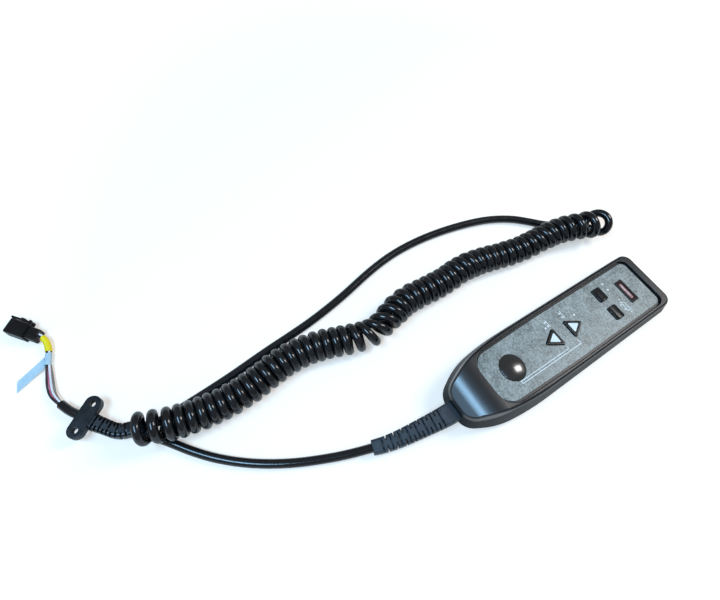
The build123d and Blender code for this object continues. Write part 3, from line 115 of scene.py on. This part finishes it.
BACK = np.array([
    (-63.4, 95.2, 5.2), (-68.0, 91.2, 3.2), (-72.0, 86.0, 3.1), (-75.6, 80.6, 3.1),
    (-79.8, 74.4, 3.1), (-84.9, 68.0, 3.1), (-92.5, 60.8, 3.1), (-103.5, 49.0, 3.1),
    (-114.0, 30.0, 3.1), (-121.6, 4.0, 3.1), (-126.6, -24.0, 3.1), (-127.8, -53.0, 3.1),
    (-124.0, -80.0, 3.1), (-116.6, -109.0, 3.1), (-111.6, -138.0, 3.1), (-109.6, -160.0, 3.1),
    (-108.2, -181.0, 3.1), (-105.2, -208.0, 3.1), (-103.8, -230.0, 3.1), (-102.8, -250.0, 3.1),
    (-101.8, -266.3, 3.76), (-106.0, -279.0, 4.9),
]) / 1000
# slow waves from turn to turn: how large, and how many radians in a turn
SIDE_WAVE = (1.6, 1.7)      # degrees of side lean
BACK_WAVE = (1.2, 1.1)      # degrees of back lean
SIZE_WAVE = (0.012, 2.4)    # share of the radius
AXIS_STEPS = 900
AXIS_ONWARD = 0.02          # that the axis is carried on past its last point


def spline_curve(name, points):
    """A curve of one open spline of order 3, with the given control points, that starts
    at the first of them and ends at the last."""
    curve = bpy.data.curves.new(name, "CURVE")
    curve.dimensions = "3D"
    spline = curve.splines.new("NURBS")
    spline.points.add(len(points) - 1)
    spline.points.foreach_set("co", np.c_[points, np.ones(len(points))].ravel())
    spline.order_u = 3
    spline.use_endpoint_u = True
    return curve


def spline_line(points, steps=16):
    """Points close together along the spline that the given control points make."""
    curve = spline_curve("line", points)
    curve.splines[0].resolution_u = steps
    bare = bpy.data.objects.new("line", curve)
    mesh = bpy.data.meshes.new_from_object(bare)
    line = np.empty(3 * len(mesh.vertices), np.float32)
    mesh.vertices.foreach_get("co", line)
    bpy.data.objects.remove(bare)
    bpy.data.curves.remove(curve)
    bpy.data.meshes.remove(mesh)
    return line.reshape(-1, 3).astype(float)


def distances(line):
    """Distance along a line at each of its points: the gaps between them, added up."""
    return np.r_[0, np.cumsum(np.linalg.norm(np.diff(line, axis=0), axis=1))]


def at_distances(line, places):
    """Points at the given distances along a line, by shares of the way between its own."""
    along = distances(line)
    return np.stack([np.interp(places, along, column) for column in line.T], axis=1)


def at_places(rows, known, places):
    """Directions at the given distances, by shares of the way between those known."""
    return unit(np.stack([np.interp(places, known, column) for column in rows.T], axis=1))


def unit(rows):
    """Each row divided by its own length."""
    return rows / np.linalg.norm(rows, axis=-1, keepdims=True)


def frames(line):
    """Direction, level side and upper side at each point of a line that runs nearly level:
    the side is the direction crossed with straight up, and the upper side is square to both."""
    heading = unit(np.gradient(line, axis=0))
    side = unit(np.cross(heading, (0, 0, 1)))
    return heading, side, np.cross(side, heading)


def helix_points():
    """Control points of the coil: a circle's points round the axis, clockwise as seen from
    its start, in planes that move along the axis and lean as the table of turns says, with
    a slow wave in their size and lean. A spline of order 3 lies inside its control points,
    so the circle is larger by 4 / (3 + cos(step))."""
    axis = spline_line(COIL)
    axis = np.concatenate([axis, axis[-1:] + unit(axis[-1:] - axis[-4:-3]) * AXIS_ONWARD])
    turn = np.arange(1, TURNS[-1, 0] * TURN_POINTS + 1) / TURN_POINTS
    place, radius, side_lean, back_lean = (
        np.interp(turn, TURNS[:, 0], column) for column in TURNS[:, 1:].T
    )

    def wave(size, pace):
        """The size times the sine of the pace times the turn's number."""
        return size * np.sin(pace * turn)

    fine = np.linspace(0, distances(axis)[-1], AXIS_STEPS)
    heading, side, upper = (
        at_places(rows, fine, place / 1000) for rows in frames(at_distances(axis, fine))
    )
    side_lean = np.radians(side_lean + wave(*SIDE_WAVE))[:, None]
    back_lean = np.radians(back_lean + wave(*BACK_WAVE))[:, None]
    side = side * np.cos(side_lean) - heading * np.sin(side_lean)
    upper = upper * np.cos(back_lean) - heading * np.sin(back_lean)
    radius = radius / 1000 * (1 + wave(*SIZE_WAVE)) * 4 / (3 + cos(2 * pi / TURN_POINTS))
    angle = (-pi / 2 - 2 * pi * turn)[:, None]
    spokes = radius[:, None] * (np.cos(angle) * side + np.sin(angle) * upper)
    return at_distances(axis, place / 1000) + spokes


def declare_tube(name, points, diameter, steps, roundness):
    """A round cable along a spline, as an object at the origin, with a number of steps from
    each control point to the next. The bevel is one metre and each point's radius is the
    cable's, so that the curve's box is the cable's own."""
    curve = spline_curve(name, points)
    curve.splines[0].resolution_u = steps
    curve.splines[0].points.foreach_set("radius", np.full(len(points), diameter / 2))
    curve.bevel_depth = 1.0
    curve.bevel_resolution = roundness
    curve.use_fill_caps = True
    tube = bpy.data.objects.new(name, curve)
    scene.collection.objects.link(tube)
    return tube


cord_points = np.concatenate([LEAD, helix_points(), BACK])
cord = declare_tube("curly_cord", cord_points, CORD_DIAMETER, steps=4, roundness=4)
radii = np.full(len(cord_points), CORD_DIAMETER / 2)
radii[len(LEAD) + TURN_POINTS:-len(BACK) - TURN_POINTS] *= TURN_SWELL
cord.data.splines[0].points.foreach_set("radius", radii)
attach(cord, "housing")
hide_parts("handset_lead", "coiled_cord", "return_lead")
cord_length = float(distances(spline_line(cord_points, steps=6))[-1])


def feed(tree, value, socket):
    """Links a socket to the output of another node, or gives it a fixed value."""
    if isinstance(value, bpy.types.NodeSocket):
        tree.links.new(value, socket)
    else:
        socket.default_value = value


def reckon(tree, operation, *values):
    """What a math node makes of some outputs or fixed values."""
    node = tree.nodes.new("ShaderNodeMath")
    node.operation = operation
    for value, socket in zip(values, node.inputs):
        feed(tree, value, socket)
    return node.outputs["Value"]


def spread(tree, value, start, end, low=0.0, high=1.0):
    """A value's share of the way from start to end, as a value from low to high."""
    node = tree.nodes.new("ShaderNodeMapRange")
    sockets = {"Value": value, "From Min": start, "From Max": end, "To Min": low, "To Max": high}
    for name, given in sockets.items():
        feed(tree, given, node.inputs[name])
    return node.outputs["Result"]


def mix(tree, share, first, second, kind="FLOAT"):
    """A mix of two numbers or colours, by the share of the second."""
    node = tree.nodes.new("ShaderNodeMix")
    node.data_type = kind
    for name, given in (("Factor", share), ("A", first), ("B", second)):
        feed(tree, given, node.inputs[name])
    return node.outputs["Result"]


# Each noise of a skin by its output: its size's input, its detail and roughness, its stretch
# along X, Y and Z, and the part of its range that is spread from 0 to 1.
NOISES = {
    "Specks": ("Grain size", 3, 0.6, (1, 1, 1), 0.36, 0.64),
    "Clouds": ("Cloud size", 4, 0.55, (1, 1, 1), 0.34, 0.66),
    "Marks": ("Mark size", 5, 0.7, (1, 0.35, 1), 0.52, 0.72),
}


def surface_grain():
    """Node group for a moulded or extruded skin. Height is fine noise and Specks the same
    with more contrast, Clouds is broad noise, and Marks a stretched noise with a threshold,
    as of wiping and handling. A noise's scale is 1 over the size of its blobs."""
    group = bpy.data.node_groups.new("surface_grain", "ShaderNodeTree")
    for output, (size, *_) in NOISES.items():
        group.interface.new_socket(size, in_out="INPUT", socket_type="NodeSocketFloat")
        group.interface.new_socket(output, in_out="OUTPUT", socket_type="NodeSocketFloat")
    group.interface.new_socket("Height", in_out="OUTPUT", socket_type="NodeSocketFloat")
    given = group.nodes.new("NodeGroupInput")
    result = group.nodes.new("NodeGroupOutput")
    place = group.nodes.new("ShaderNodeTexCoord")
    for output, (size, detail, roughness, stretch, lowest, highest) in NOISES.items():
        mapping = group.nodes.new("ShaderNodeMapping")
        mapping.inputs["Scale"].default_value = stretch
        group.links.new(place.outputs["Object"], mapping.inputs["Vector"])
        texture = group.nodes.new("ShaderNodeTexNoise")
        texture.inputs["Detail"].default_value = detail
        texture.inputs["Roughness"].default_value = roughness
        group.links.new(mapping.outputs["Vector"], texture.inputs["Vector"])
        scale = reckon(group, "DIVIDE", 1.0, given.outputs[size])
        group.links.new(scale, texture.inputs["Scale"])
        noise = texture.outputs["Fac"]
        group.links.new(spread(group, noise, lowest, highest), result.inputs[output])
        if output == "Specks":
            group.links.new(noise, result.inputs["Height"])
    return group


grain_group = surface_grain()


def moulded(name, dark, light, smooth, rough, grain=(0.0004, 0.000001), clouds=0.01,
            marks=0.004, specks=0.0, coat=0.0, coat_rough=0.06, metallic=0.0, soft_edge=0.0,
            shine=0.5):
    """A solid-coloured skin. Its colour goes from dark to light with the clouds and, by the
    share given, the specks; its roughness goes from smooth to rough with the clouds and the
    marks, half and half. grain is the size and depth of its texture. soft_edge rounds sharp
    edges in the shading by that radius, and shine is the strength of the reflections, 0.5
    for plastic."""
    material = bpy.data.materials.new(name)
    material.use_nodes = True
    tree = material.node_tree
    shader = tree.nodes["Principled BSDF"]
    skin = tree.nodes.new("ShaderNodeGroup")
    skin.node_tree = grain_group
    for socket, size in (("Grain size", grain[0]), ("Cloud size", clouds), ("Mark size", marks)):
        skin.inputs[socket].default_value = size
    shade = mix(tree, specks, skin.outputs["Clouds"], skin.outputs["Specks"])
    wear = mix(tree, 0.5, skin.outputs["Marks"], skin.outputs["Clouds"])
    bump = tree.nodes.new("ShaderNodeBump")
    bump.inputs["Strength"].default_value = 1.0
    bump.inputs["Distance"].default_value = grain[1]
    tree.links.new(skin.outputs["Height"], bump.inputs["Height"])
    if soft_edge:
        edge = tree.nodes.new("ShaderNodeBevel")
        edge.samples = 6
        edge.inputs["Radius"].default_value = soft_edge
        tree.links.new(edge.outputs["Normal"], bump.inputs["Normal"])
    sockets = {
        "Base Color": mix(tree, shade, (*dark, 1), (*light, 1), "RGBA"),
        "Roughness": spread(tree, wear, 0.0, 1.0, smooth, rough),
        "Metallic": metallic,
        "Specular IOR Level": shine,
        "Coat Weight": coat,
        "Coat Roughness": coat_rough,
        "Normal": bump.outputs["Normal"],
    }
    for socket, given in sockets.items():
        feed(tree, given, shader.inputs[socket])
    return material


jacket = moulded("jacket_black", (0.005, 0.006, 0.007), (0.009, 0.010, 0.012), 0.15, 0.25,
                 grain=(0.0016, 0.00001), clouds=0.006, marks=0.003, shine=0.6)
cord.data.materials.append(jacket)


def dress(material, *names):
    """Gives solids that stay as they are a material in all their slots."""
    for name in names:
        solid = nodes[name]
        if not solid.material_slots:
            solid.data.materials.append(None)
        for slot in solid.material_slots:
            slot.material = material


dress(jacket, "handset_lead", "coiled_cord", "return_lead", "jacket_end", "cord_entry")

# ------------------------------------------------------------------ four wires
# Single conductors in thin PVC, 1.5 mm over the insulation, that leave the cut end of the
# jacket and go through the sleeve and the label to the connector's seal.
WIRE_DIAMETER = 0.0015
WIRE_LOWEST = 0.00085       # of the middle of a wire, over the table
WIRE_ROUTE = np.array([
    (-147.6, -313.6, 4.8), (-155.3, -316.6, 3.6), (-164.4, -316.2, 2.2), (-173.6, -313.8, 2.1),
    (-182.8, -311.2, 2.8), (-190.6, -308.0, 3.1), (-196.4, -306.9, 4.2), (-200.4, -307.6, 5.0),
    (-203.2, -309.8, 5.0),
]) / 1000
# at each point of the route, half the pitch of the wires and how far they are fanned out
WIRE_SPREAD = np.array([0.8, 1.1, 1.3, 1.1, 0.8, 0.8, 0.8, 1.1, 1.4]) / 1000
FANNED = np.array([0, 0.7, 1, 0.9, 0.1, 0, 0, 0, 0])[:, None]
# each wire's dark and light colour, and its place across and up in the bundle, in half
# pitches, where the wires are bound and where they are fanned out
WIRES = {
    "wire_black": ((0.02, 0.02, 0.02), (0.05, 0.05, 0.05), (-1, 1), (-1.7, 0.4)),
    "wire_red": ((0.72, 0.13, 0.20), (0.80, 0.22, 0.30), (-1, -1), (-0.5, 0.1)),
    "wire_white": ((0.82, 0.84, 0.86), (0.92, 0.93, 0.94), (1, 1), (0.7, 0.9)),
    "wire_grey": ((0.20, 0.17, 0.15), (0.32, 0.28, 0.26), (1, -1), (1.7, -0.1)),
}
side, upper = frames(WIRE_ROUTE)[1:]
for name, (dark, light, bound, loose) in WIRES.items():
    across, high = ((1 - FANNED) * bound + FANNED * loose).T[:, :, None]
    points = WIRE_ROUTE + (side * across + upper * high) * WIRE_SPREAD[:, None]
    points[:, 2] = points[:, 2].clip(WIRE_LOWEST)
    wire = declare_tube(f"{name}_lead", points, WIRE_DIAMETER, steps=10, roundness=3)
    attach(wire, "housing")
    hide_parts(name)
    insulation = moulded(f"{name}_skin", dark, light, 0.3, 0.45, grain=(0.0008, 0.00002),
                         clouds=0.004)
    wire.data.materials.append(insulation)
    dress(insulation, name)
    round(float(distances(spline_line(points))[-1]), 4)

# ------------------------------------------------------------------ sleeve and label on the wires
# A short yellow PVC sleeve keeps the wires together, and a strip of pale blue paper is
# wrapped round them and stuck to itself as a flag.
dress(moulded("sleeve_yellow", (0.99, 0.76, 0.003), (1.0, 0.82, 0.006), 0.35, 0.5,
              clouds=0.003), "yellow_sleeve")
dress(moulded("label_paper", (0.47, 0.65, 0.75), (0.56, 0.73, 0.82), 0.55, 0.7,
              grain=(0.0003, 0.00002), clouds=0.004), "label_flag")

# ------------------------------------------------------------------ housing covers
# Two covers injection-moulded in black ABS with a fine satin grain, screwed together from the
# back with a seal between them. The rim and the apron are polished and the flanks aren't.
FACE_LINE = (0.0206, -0.0515)   # height at Y = 0 and slope along Y
APRON_LINE = (0.0428, 0.28)
COAT_FADE = 0.001               # below the lines
COAT_IOR = 1.7
THINNED = (-0.078, -0.060)      # along Y, from the apron's top to the face
THIN_COAT = 0.3                 # beyond the apron
cover_black = moulded("cover_black", (0.005, 0.006, 0.008), (0.009, 0.011, 0.014), 0.40, 0.50,
                      grain=(0.0004, 0.0000003), clouds=0.015, marks=0.006, specks=0.3,
                      coat_rough=0.29, shine=0.2)


def places(tree):
    """The X, Y and Z of each point of a piece at rest, as outputs by those names."""
    parts = tree.nodes.new("ShaderNodeSeparateXYZ")
    where = tree.nodes.new("ShaderNodeTexCoord")
    tree.links.new(where.outputs["Object"], parts.inputs[0])
    return parts.outputs


def polish_above(material, *lines):
    """Coats a skin where it is higher than the lowest of two lines. A line's height is its
    first number plus its slope times Y."""
    tree = material.node_tree
    shader = tree.nodes["Principled BSDF"]
    at = places(tree)
    heights = [reckon(tree, "MULTIPLY_ADD", at["Y"], slope, height) for height, slope in lines]
    over = reckon(tree, "SUBTRACT", at["Z"], reckon(tree, "MINIMUM", *heights))
    coated = spread(tree, over, -COAT_FADE, 0.0)
    thickness = spread(tree, at["Y"], *THINNED, 1.0, THIN_COAT)
    coat = reckon(tree, "MULTIPLY", coated, thickness)
    tree.links.new(coat, shader.inputs["Coat Weight"])
    shader.inputs["Coat IOR"].default_value = COAT_IOR


polish_above(cover_black, FACE_LINE, APRON_LINE)
dress(cover_black, "front_cover")
dress(moulded("back_black", (0.007, 0.006, 0.006), (0.012, 0.010, 0.010), 0.50, 0.60,
              grain=(0.0006, 0.00001), shine=0.15), "rear_cover")
dress(moulded("seal_rubber", (0.02, 0.02, 0.02), (0.03, 0.03, 0.03), 0.6, 0.75),
      "housing_seal")

# ------------------------------------------------------------------ faceplate
# A polycarbonate plate with a screen-printed grey face, speckled and matt, set into the
# front cover.
dress(moulded("plate_grey", (0.075, 0.094, 0.090), (0.40, 0.445, 0.430), 0.34, 0.46,
              grain=(0.0014, 0.000002), clouds=0.009, marks=0.002, specks=0.62), "faceplate")

# ------------------------------------------------------------------ marks printed on the faceplate
# White ink, screen-printed: two lines that join the stop key to the arrows, and small plain
# pictograms of an axle beside each arrow and of a trailer beside the height key.
# The marks' places across and along the plate, and their widths, are in millimetres.
PRINT_LINE = 0.50
PRINT_STANDS = 0.02         # over the face
PRINT_SUNK = 0.05
PLATE_THICKNESS = 0.0012
FACE_FALL = radians(2.95)
plate_low, plate_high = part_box("faceplate")
across_face = np.array((1, 0, 0))
along_face = np.array((0, cos(FACE_FALL), -sin(FACE_FALL)))
out_of_face = np.array((0, sin(FACE_FALL), cos(FACE_FALL)))
face_corner = np.array((0, plate_low[1] + PLATE_THICKNESS * sin(FACE_FALL), plate_high[2]))


def ring(across, along, radius, count=14):
    """A closed path round a circle: its middle, plus the radius times the cosine and the sine
    of an angle that goes once round."""
    angle = np.linspace(0, 2 * pi, count + 1)
    return np.stack([across + radius * np.cos(angle), along + radius * np.sin(angle)], axis=1)


def printed_line(path, width):
    """Points and faces of a thin strip of ink: a rectangle carried along a path in the
    face's plane, moved to each side by half the width over the cosine of half the turn."""
    path = np.array(path, float)
    closed = np.allclose(path[0], path[-1])
    way = unit(np.diff(path, axis=0))
    before = np.concatenate([way[-1:] if closed else way[:1], way])
    after = np.concatenate([way, way[:1] if closed else way[-1:]])
    middle = unit(before + after)
    square = np.stack([-middle[:, 1], middle[:, 0]], axis=1)
    sideways = square / np.sum(middle * after, axis=1, keepdims=True)
    corners = [(1, -PRINT_SUNK), (-1, -PRINT_SUNK), (-1, PRINT_STANDS), (1, PRINT_STANDS)]
    points = np.stack([
        np.column_stack([path + sideways * side * width / 2, np.full(len(path), height)])
        for side, height in corners
    ], axis=1).reshape(-1, 3)
    start, corner = np.meshgrid(np.arange(len(path) - 1) * 4, np.arange(4), indexing="ij")
    turned = (corner + 1) % 4
    faces = np.stack([start + corner, start + 4 + corner, start + 4 + turned, start + turned],
                     axis=-1).reshape(-1, 4)
    end = len(points) - 4
    caps = np.array([(0, 1, 2, 3), (end + 3, end + 2, end + 1, end)])
    return points, np.concatenate([faces, caps])


def ink(name, lines):
    """One mesh of many printed lines, laid on the faceplate."""
    points, faces, used = [], [], 0
    for path, width in lines:
        strip_points, strip_faces = printed_line(path, width)
        points.append(strip_points)
        faces.append(strip_faces + used)
        used += len(strip_points)
    flat = np.concatenate(points) / 1000
    placed = face_corner + flat @ np.stack([across_face, along_face, out_of_face])
    mesh = bpy.data.meshes.new(name)
    mesh.from_pydata(placed.tolist(), [], np.concatenate(faces).tolist())
    piece = bpy.data.objects.new(name, mesh)
    scene.collection.objects.link(piece)
    return piece


printed_marks = ink("printed_marks", [
    ([(10.6, 65.6), (10.6, 19.7), (12.5, 19.7)], PRINT_LINE),
    ([(10.6, 65.6), (8.6, 65.6)], PRINT_LINE),
    ([(12.5, 19.7), (12.5, 76.2), (8.6, 76.2)], PRINT_LINE),
    ([(-14.6, 66.0), (-8.6, 66.0)], PRINT_LINE),
    (ring(-13.2, 64.6, 0.55), PRINT_LINE), (ring(-10.0, 64.6, 0.55), PRINT_LINE),
    ([(-14.4, 80.6), (-8.4, 80.6)], PRINT_LINE),
    (ring(-13.0, 79.2, 0.55), PRINT_LINE), (ring(-9.8, 79.2, 0.55), PRINT_LINE),
    ([(4.2, 127.0), (12.6, 127.0), (12.6, 129.6), (6.6, 129.6), (4.2, 127.0)], 0.42),
    (ring(6.2, 125.7, 0.5), 0.45), (ring(10.6, 125.7, 0.5), 0.45),
    (ring(2.4, 127.6, 0.3), 0.6), (ring(14.4, 128.4, 0.3), 0.6),
])
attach(printed_marks, "housing")
ink_white = moulded("ink_white", (0.72, 0.80, 0.80), (0.88, 0.94, 0.94), 0.45, 0.6,
                    grain=(0.0003, 0.000002), clouds=0.001)
printed_marks.data.materials.append(ink_white)

# ------------------------------------------------------------------ keys
# Glossy black keys moulded in acetal, with their edges rounded; the two arrows carry a
# white inlay, and the stop key is a low dome. A rubber dome under each is squeezed by it.
KEYS = ("stop", "lower", "raise", "axle", "height")
key_black = moulded("key_black", (0.006, 0.007, 0.008), (0.010, 0.011, 0.012), 0.12, 0.18,
                    grain=(0.0006, 0.0000003), clouds=0.004)
dress(key_black, *(f"{key}_button" for key in KEYS[1:]))
dress(moulded("stop_black", (0.005, 0.006, 0.007), (0.009, 0.010, 0.011), 0.22, 0.27,
              grain=(0.0006, 0.0000003), clouds=0.004, shine=1.0, coat=1.0, coat_rough=0.16),
      "stop_button")
dress(moulded("inlay_white", (0.70, 0.80, 0.80), (0.84, 0.93, 0.93), 0.4, 0.55, clouds=0.0015),
      "lower_inlay", "raise_inlay")
dress(moulded("dome_rubber", (0.5, 0.5, 0.48), (0.6, 0.6, 0.58), 0.5, 0.7),
      *(f"{key}_dome" for key in KEYS))
dress(moulded("plunger_white", (0.7, 0.7, 0.68), (0.8, 0.8, 0.78), 0.3, 0.5),
      *(f"{key}_plunger" for key in KEYS))
for key in KEYS:
    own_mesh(nodes[f"{key}_dome"])

# ------------------------------------------------------------------ display and status windows
# A tinted window in a black frame over a small segment display. A pale patch is painted in the
# window's middle as a painted reflection (painted glare). Four clear light guides end flush with
# the faceplate.
# The painted glare is a painted reflection on the window. These set how far it reaches from the
# window's middle to each side, and how wide its soft edge is.
PAINTED_GLARE_REACH = (("X", 0.0070), ("Y", 0.0015))    # from the middle of the window to each side
PAINTED_GLARE_EDGE = 0.0010
TINT = (0.035, 0.010, 0.010, 1)                 # of the window round the glare
dress(moulded("bezel_black", (0.004, 0.004, 0.005), (0.008, 0.008, 0.009), 0.40, 0.55,
              clouds=0.004, shine=0.2), "display_bezel")
lens_tint_painted_glare = moulded("lens_tint_painted_glare", (0.42, 0.20, 0.19), (0.80, 0.62, 0.60), 0.06, 0.12,
                      grain=(0.0009, 0.0), clouds=0.0022, coat=0.25)
tree = lens_tint_painted_glare.node_tree
shader = tree.nodes["Principled BSDF"]
lens_middle = np.mean(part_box("display_lens"), axis=0)
at = places(tree)
# Painted reflection: the window's middle is painted pale, and the dark tint lies round it.
shares = []
for middle, (axis, reach) in zip(lens_middle, PAINTED_GLARE_REACH):
    away = reckon(tree, "ABSOLUTE", reckon(tree, "SUBTRACT", at[axis], middle))
    shares.append(spread(tree, away, reach, reach - PAINTED_GLARE_EDGE))
painted_glare = reckon(tree, "MULTIPLY", *shares)
pale = shader.inputs["Base Color"].links[0].from_socket
tree.links.new(mix(tree, painted_glare, TINT, pale, "RGBA"), shader.inputs["Base Color"])
dress(lens_tint_painted_glare, "display_lens")
dress(moulded("module_grey", (0.1, 0.1, 0.1), (0.14, 0.14, 0.14), 0.4, 0.6), "display_module")
dress(moulded("guide_clear", (0.80, 0.84, 0.84), (0.90, 0.94, 0.94), 0.2, 0.3, clouds=0.001),
      "status_windows")
dress(moulded("led_white", (0.8, 0.8, 0.7), (0.9, 0.9, 0.8), 0.3, 0.5), "status_leds")

# ------------------------------------------------------------------ inside the housing
# A green circuit board with switches, chips and a header, held by screws under the deck,
# with the cable's four cores brought to a plug.
dress(moulded("board_green", (0.01, 0.08, 0.03), (0.015, 0.12, 0.045), 0.3, 0.45), "circuit_board")
dress(moulded("chip_black", (0.012, 0.012, 0.012), (0.022, 0.022, 0.022), 0.45, 0.6),
      "controller_chip", "switch_bodies", "board_parts")
dress(moulded("header_cream", (0.6, 0.57, 0.48), (0.7, 0.67, 0.58), 0.4, 0.6),
      "board_header", "header_plug")
dress(moulded("core_insulation", (0.4, 0.4, 0.4), (0.5, 0.5, 0.5), 0.35, 0.5), "cord_cores")
dress(moulded("screw_steel", (0.45, 0.45, 0.46), (0.6, 0.6, 0.61), 0.25, 0.45, metallic=1.0),
      "board_screws", "housing_screws", "clamp_screws")
dress(moulded("clamp_nylon", (0.05, 0.05, 0.05), (0.07, 0.07, 0.07), 0.45, 0.6), "cord_clamp")

# ------------------------------------------------------------------ strain reliefs
# Two sleeves of soft PVC moulded over the cable, one at the hand control and one behind the
# flange, slotted crosswise so that the cable bends in an even curve.
relief_grey = moulded("relief_grey", (0.024, 0.034, 0.044), (0.042, 0.056, 0.070), 0.40, 0.54,
                      grain=(0.0006, 0.00001), clouds=0.005, soft_edge=0.0003)
dress(relief_grey, "handset_strain_relief")
dress(moulded("relief_black", (0.006, 0.008, 0.010), (0.012, 0.015, 0.018), 0.26, 0.38,
              grain=(0.0006, 0.00001), soft_edge=0.0003), "flange_strain_relief")

# ------------------------------------------------------------------ mounting flange
# A two-hole flange moulded round the cable's jacket in the same black PVC, with which the
# cord is screwed to a panel.
dress(moulded("flange_black", (0.004, 0.006, 0.008), (0.009, 0.012, 0.016), 0.26, 0.40,
              grain=(0.0007, 0.00001), clouds=0.005, soft_edge=0.0003, shine=0.4),
      "mounting_flange")

# ------------------------------------------------------------------ connector
# A small latched plug moulded in black nylon. A seal of silicone closes it round the wires,
# and a lock keeps its tinned contacts in place.
nylon = moulded("connector_black", (0.004, 0.003, 0.003), (0.009, 0.007, 0.007), 0.30, 0.44,
                grain=(0.0004, 0.00001), soft_edge=0.0002, shine=0.35)
dress(nylon, "connector_housing", "connector_latch", "terminal_lock")
dress(moulded("wire_seal", (0.03, 0.03, 0.03), (0.05, 0.05, 0.05), 0.5, 0.65),
      "connector_seal")
dress(moulded("contact_tin", (0.6, 0.6, 0.58), (0.75, 0.75, 0.72), 0.25, 0.4, metallic=1.0),
      "contact_terminals")

# ------------------------------------------------------------------ floor and light
# A pale table top, two soft lamps on either side of the camera, and a pale room. The table
# glows towards its edges, so that it looks white; in what the part mirrors it is darker.
FLOOR_REACH = 6.0
FLOOR_UNDER = 0.0002        # below the lowest piece
GLOW_FROM = 0.35            # from the middle of the table; it is white from GLOW_TO on
GLOW_TO = 1.1
GLOW_SEEN = 0.42            # of the table's middle, seen by the camera
GLOW_MIRRORED = 0.08
ROOM_LIGHT = 0.22           # on the part; the camera sees a room of 1.0
floor_mesh = bpy.data.meshes.new("floor")
square = ((-1, -1), (1, -1), (1, 1), (-1, 1))
floor_corners = [(x * FLOOR_REACH, y * FLOOR_REACH, -FLOOR_UNDER) for x, y in square]
floor_mesh.from_pydata(floor_corners, [], [(0, 1, 2, 3)])
floor = bpy.data.objects.new("floor", floor_mesh)
scene.collection.objects.link(floor)
floor_white = bpy.data.materials.new("floor_white")
floor_white.use_nodes = True
tree = floor_white.node_tree
shader = tree.nodes["Principled BSDF"]
ray = tree.nodes.new("ShaderNodeLightPath").outputs
seen = reckon(tree, "MAXIMUM", ray["Is Camera Ray"], ray["Is Glossy Ray"])
seen = reckon(tree, "MAXIMUM", seen, ray["Is Transmission Ray"])
place = tree.nodes.new("ShaderNodeTexCoord")
far = tree.nodes.new("ShaderNodeVectorMath")
far.operation = "LENGTH"
tree.links.new(place.outputs["Object"], far.inputs[0])
near_glow = reckon(tree, "MULTIPLY_ADD", ray["Is Camera Ray"], GLOW_SEEN - GLOW_MIRRORED,
                   GLOW_MIRRORED)
glow = spread(tree, far.outputs["Value"], GLOW_FROM, GLOW_TO, near_glow, 1.0)
sockets = {
    "Base Color": (0.8, 0.73, 0.65, 1),
    "Roughness": 0.9,
    "Specular IOR Level": 0.0,
    "Emission Color": (1, 1, 1, 1),
    "Emission Strength": reckon(tree, "MULTIPLY", seen, glow),
}
for socket, given in sockets.items():
    feed(tree, given, shader.inputs[socket])
floor_mesh.materials.append(floor_white)

world = bpy.data.worlds.new("room")
world.use_nodes = True
tree = world.node_tree
sky = tree.nodes["Background"]
sky.inputs["Color"].default_value = (1, 1, 1, 1)
ray = tree.nodes.new("ShaderNodeLightPath").outputs
strength = spread(tree, ray["Is Camera Ray"], 0.0, 1.0, ROOM_LIGHT, 1.0)
tree.links.new(strength, sky.inputs["Strength"])
scene.world = world


def lamp(name, place, aim, size, radiance, colour):
    """A rectangular soft lamp: its power is pi x area x the radiance of its face."""
    light = bpy.data.lights.new(name, "AREA")
    light.shape = "RECTANGLE"
    light.size, light.size_y = size
    light.energy = pi * size[0] * size[1] * radiance
    light.color = colour
    holder = bpy.data.objects.new(name, light)
    holder.location = place
    holder.rotation_mode = "QUATERNION"
    holder.rotation_quaternion = (Vector(aim) - Vector(place)).to_track_quat("-Z", "Y")
    scene.collection.objects.link(holder)


lamp("window", place=(-0.01, -0.571, 0.876), aim=(-0.01, -0.09, 0.02), size=(0.60, 0.22),
     radiance=20.0, colour=(0.38, 0.68, 1.0))
lamp("ceiling", place=(0.115, 0.665, 0.815), aim=(0.0, 0.0, 0.0), size=(0.27, 0.42),
     radiance=14.0, colour=(1.0, 0.98, 0.97))

# ------------------------------------------------------------------ update
# Brings the placements of all objects up to date.
bpy.context.view_layer.update()
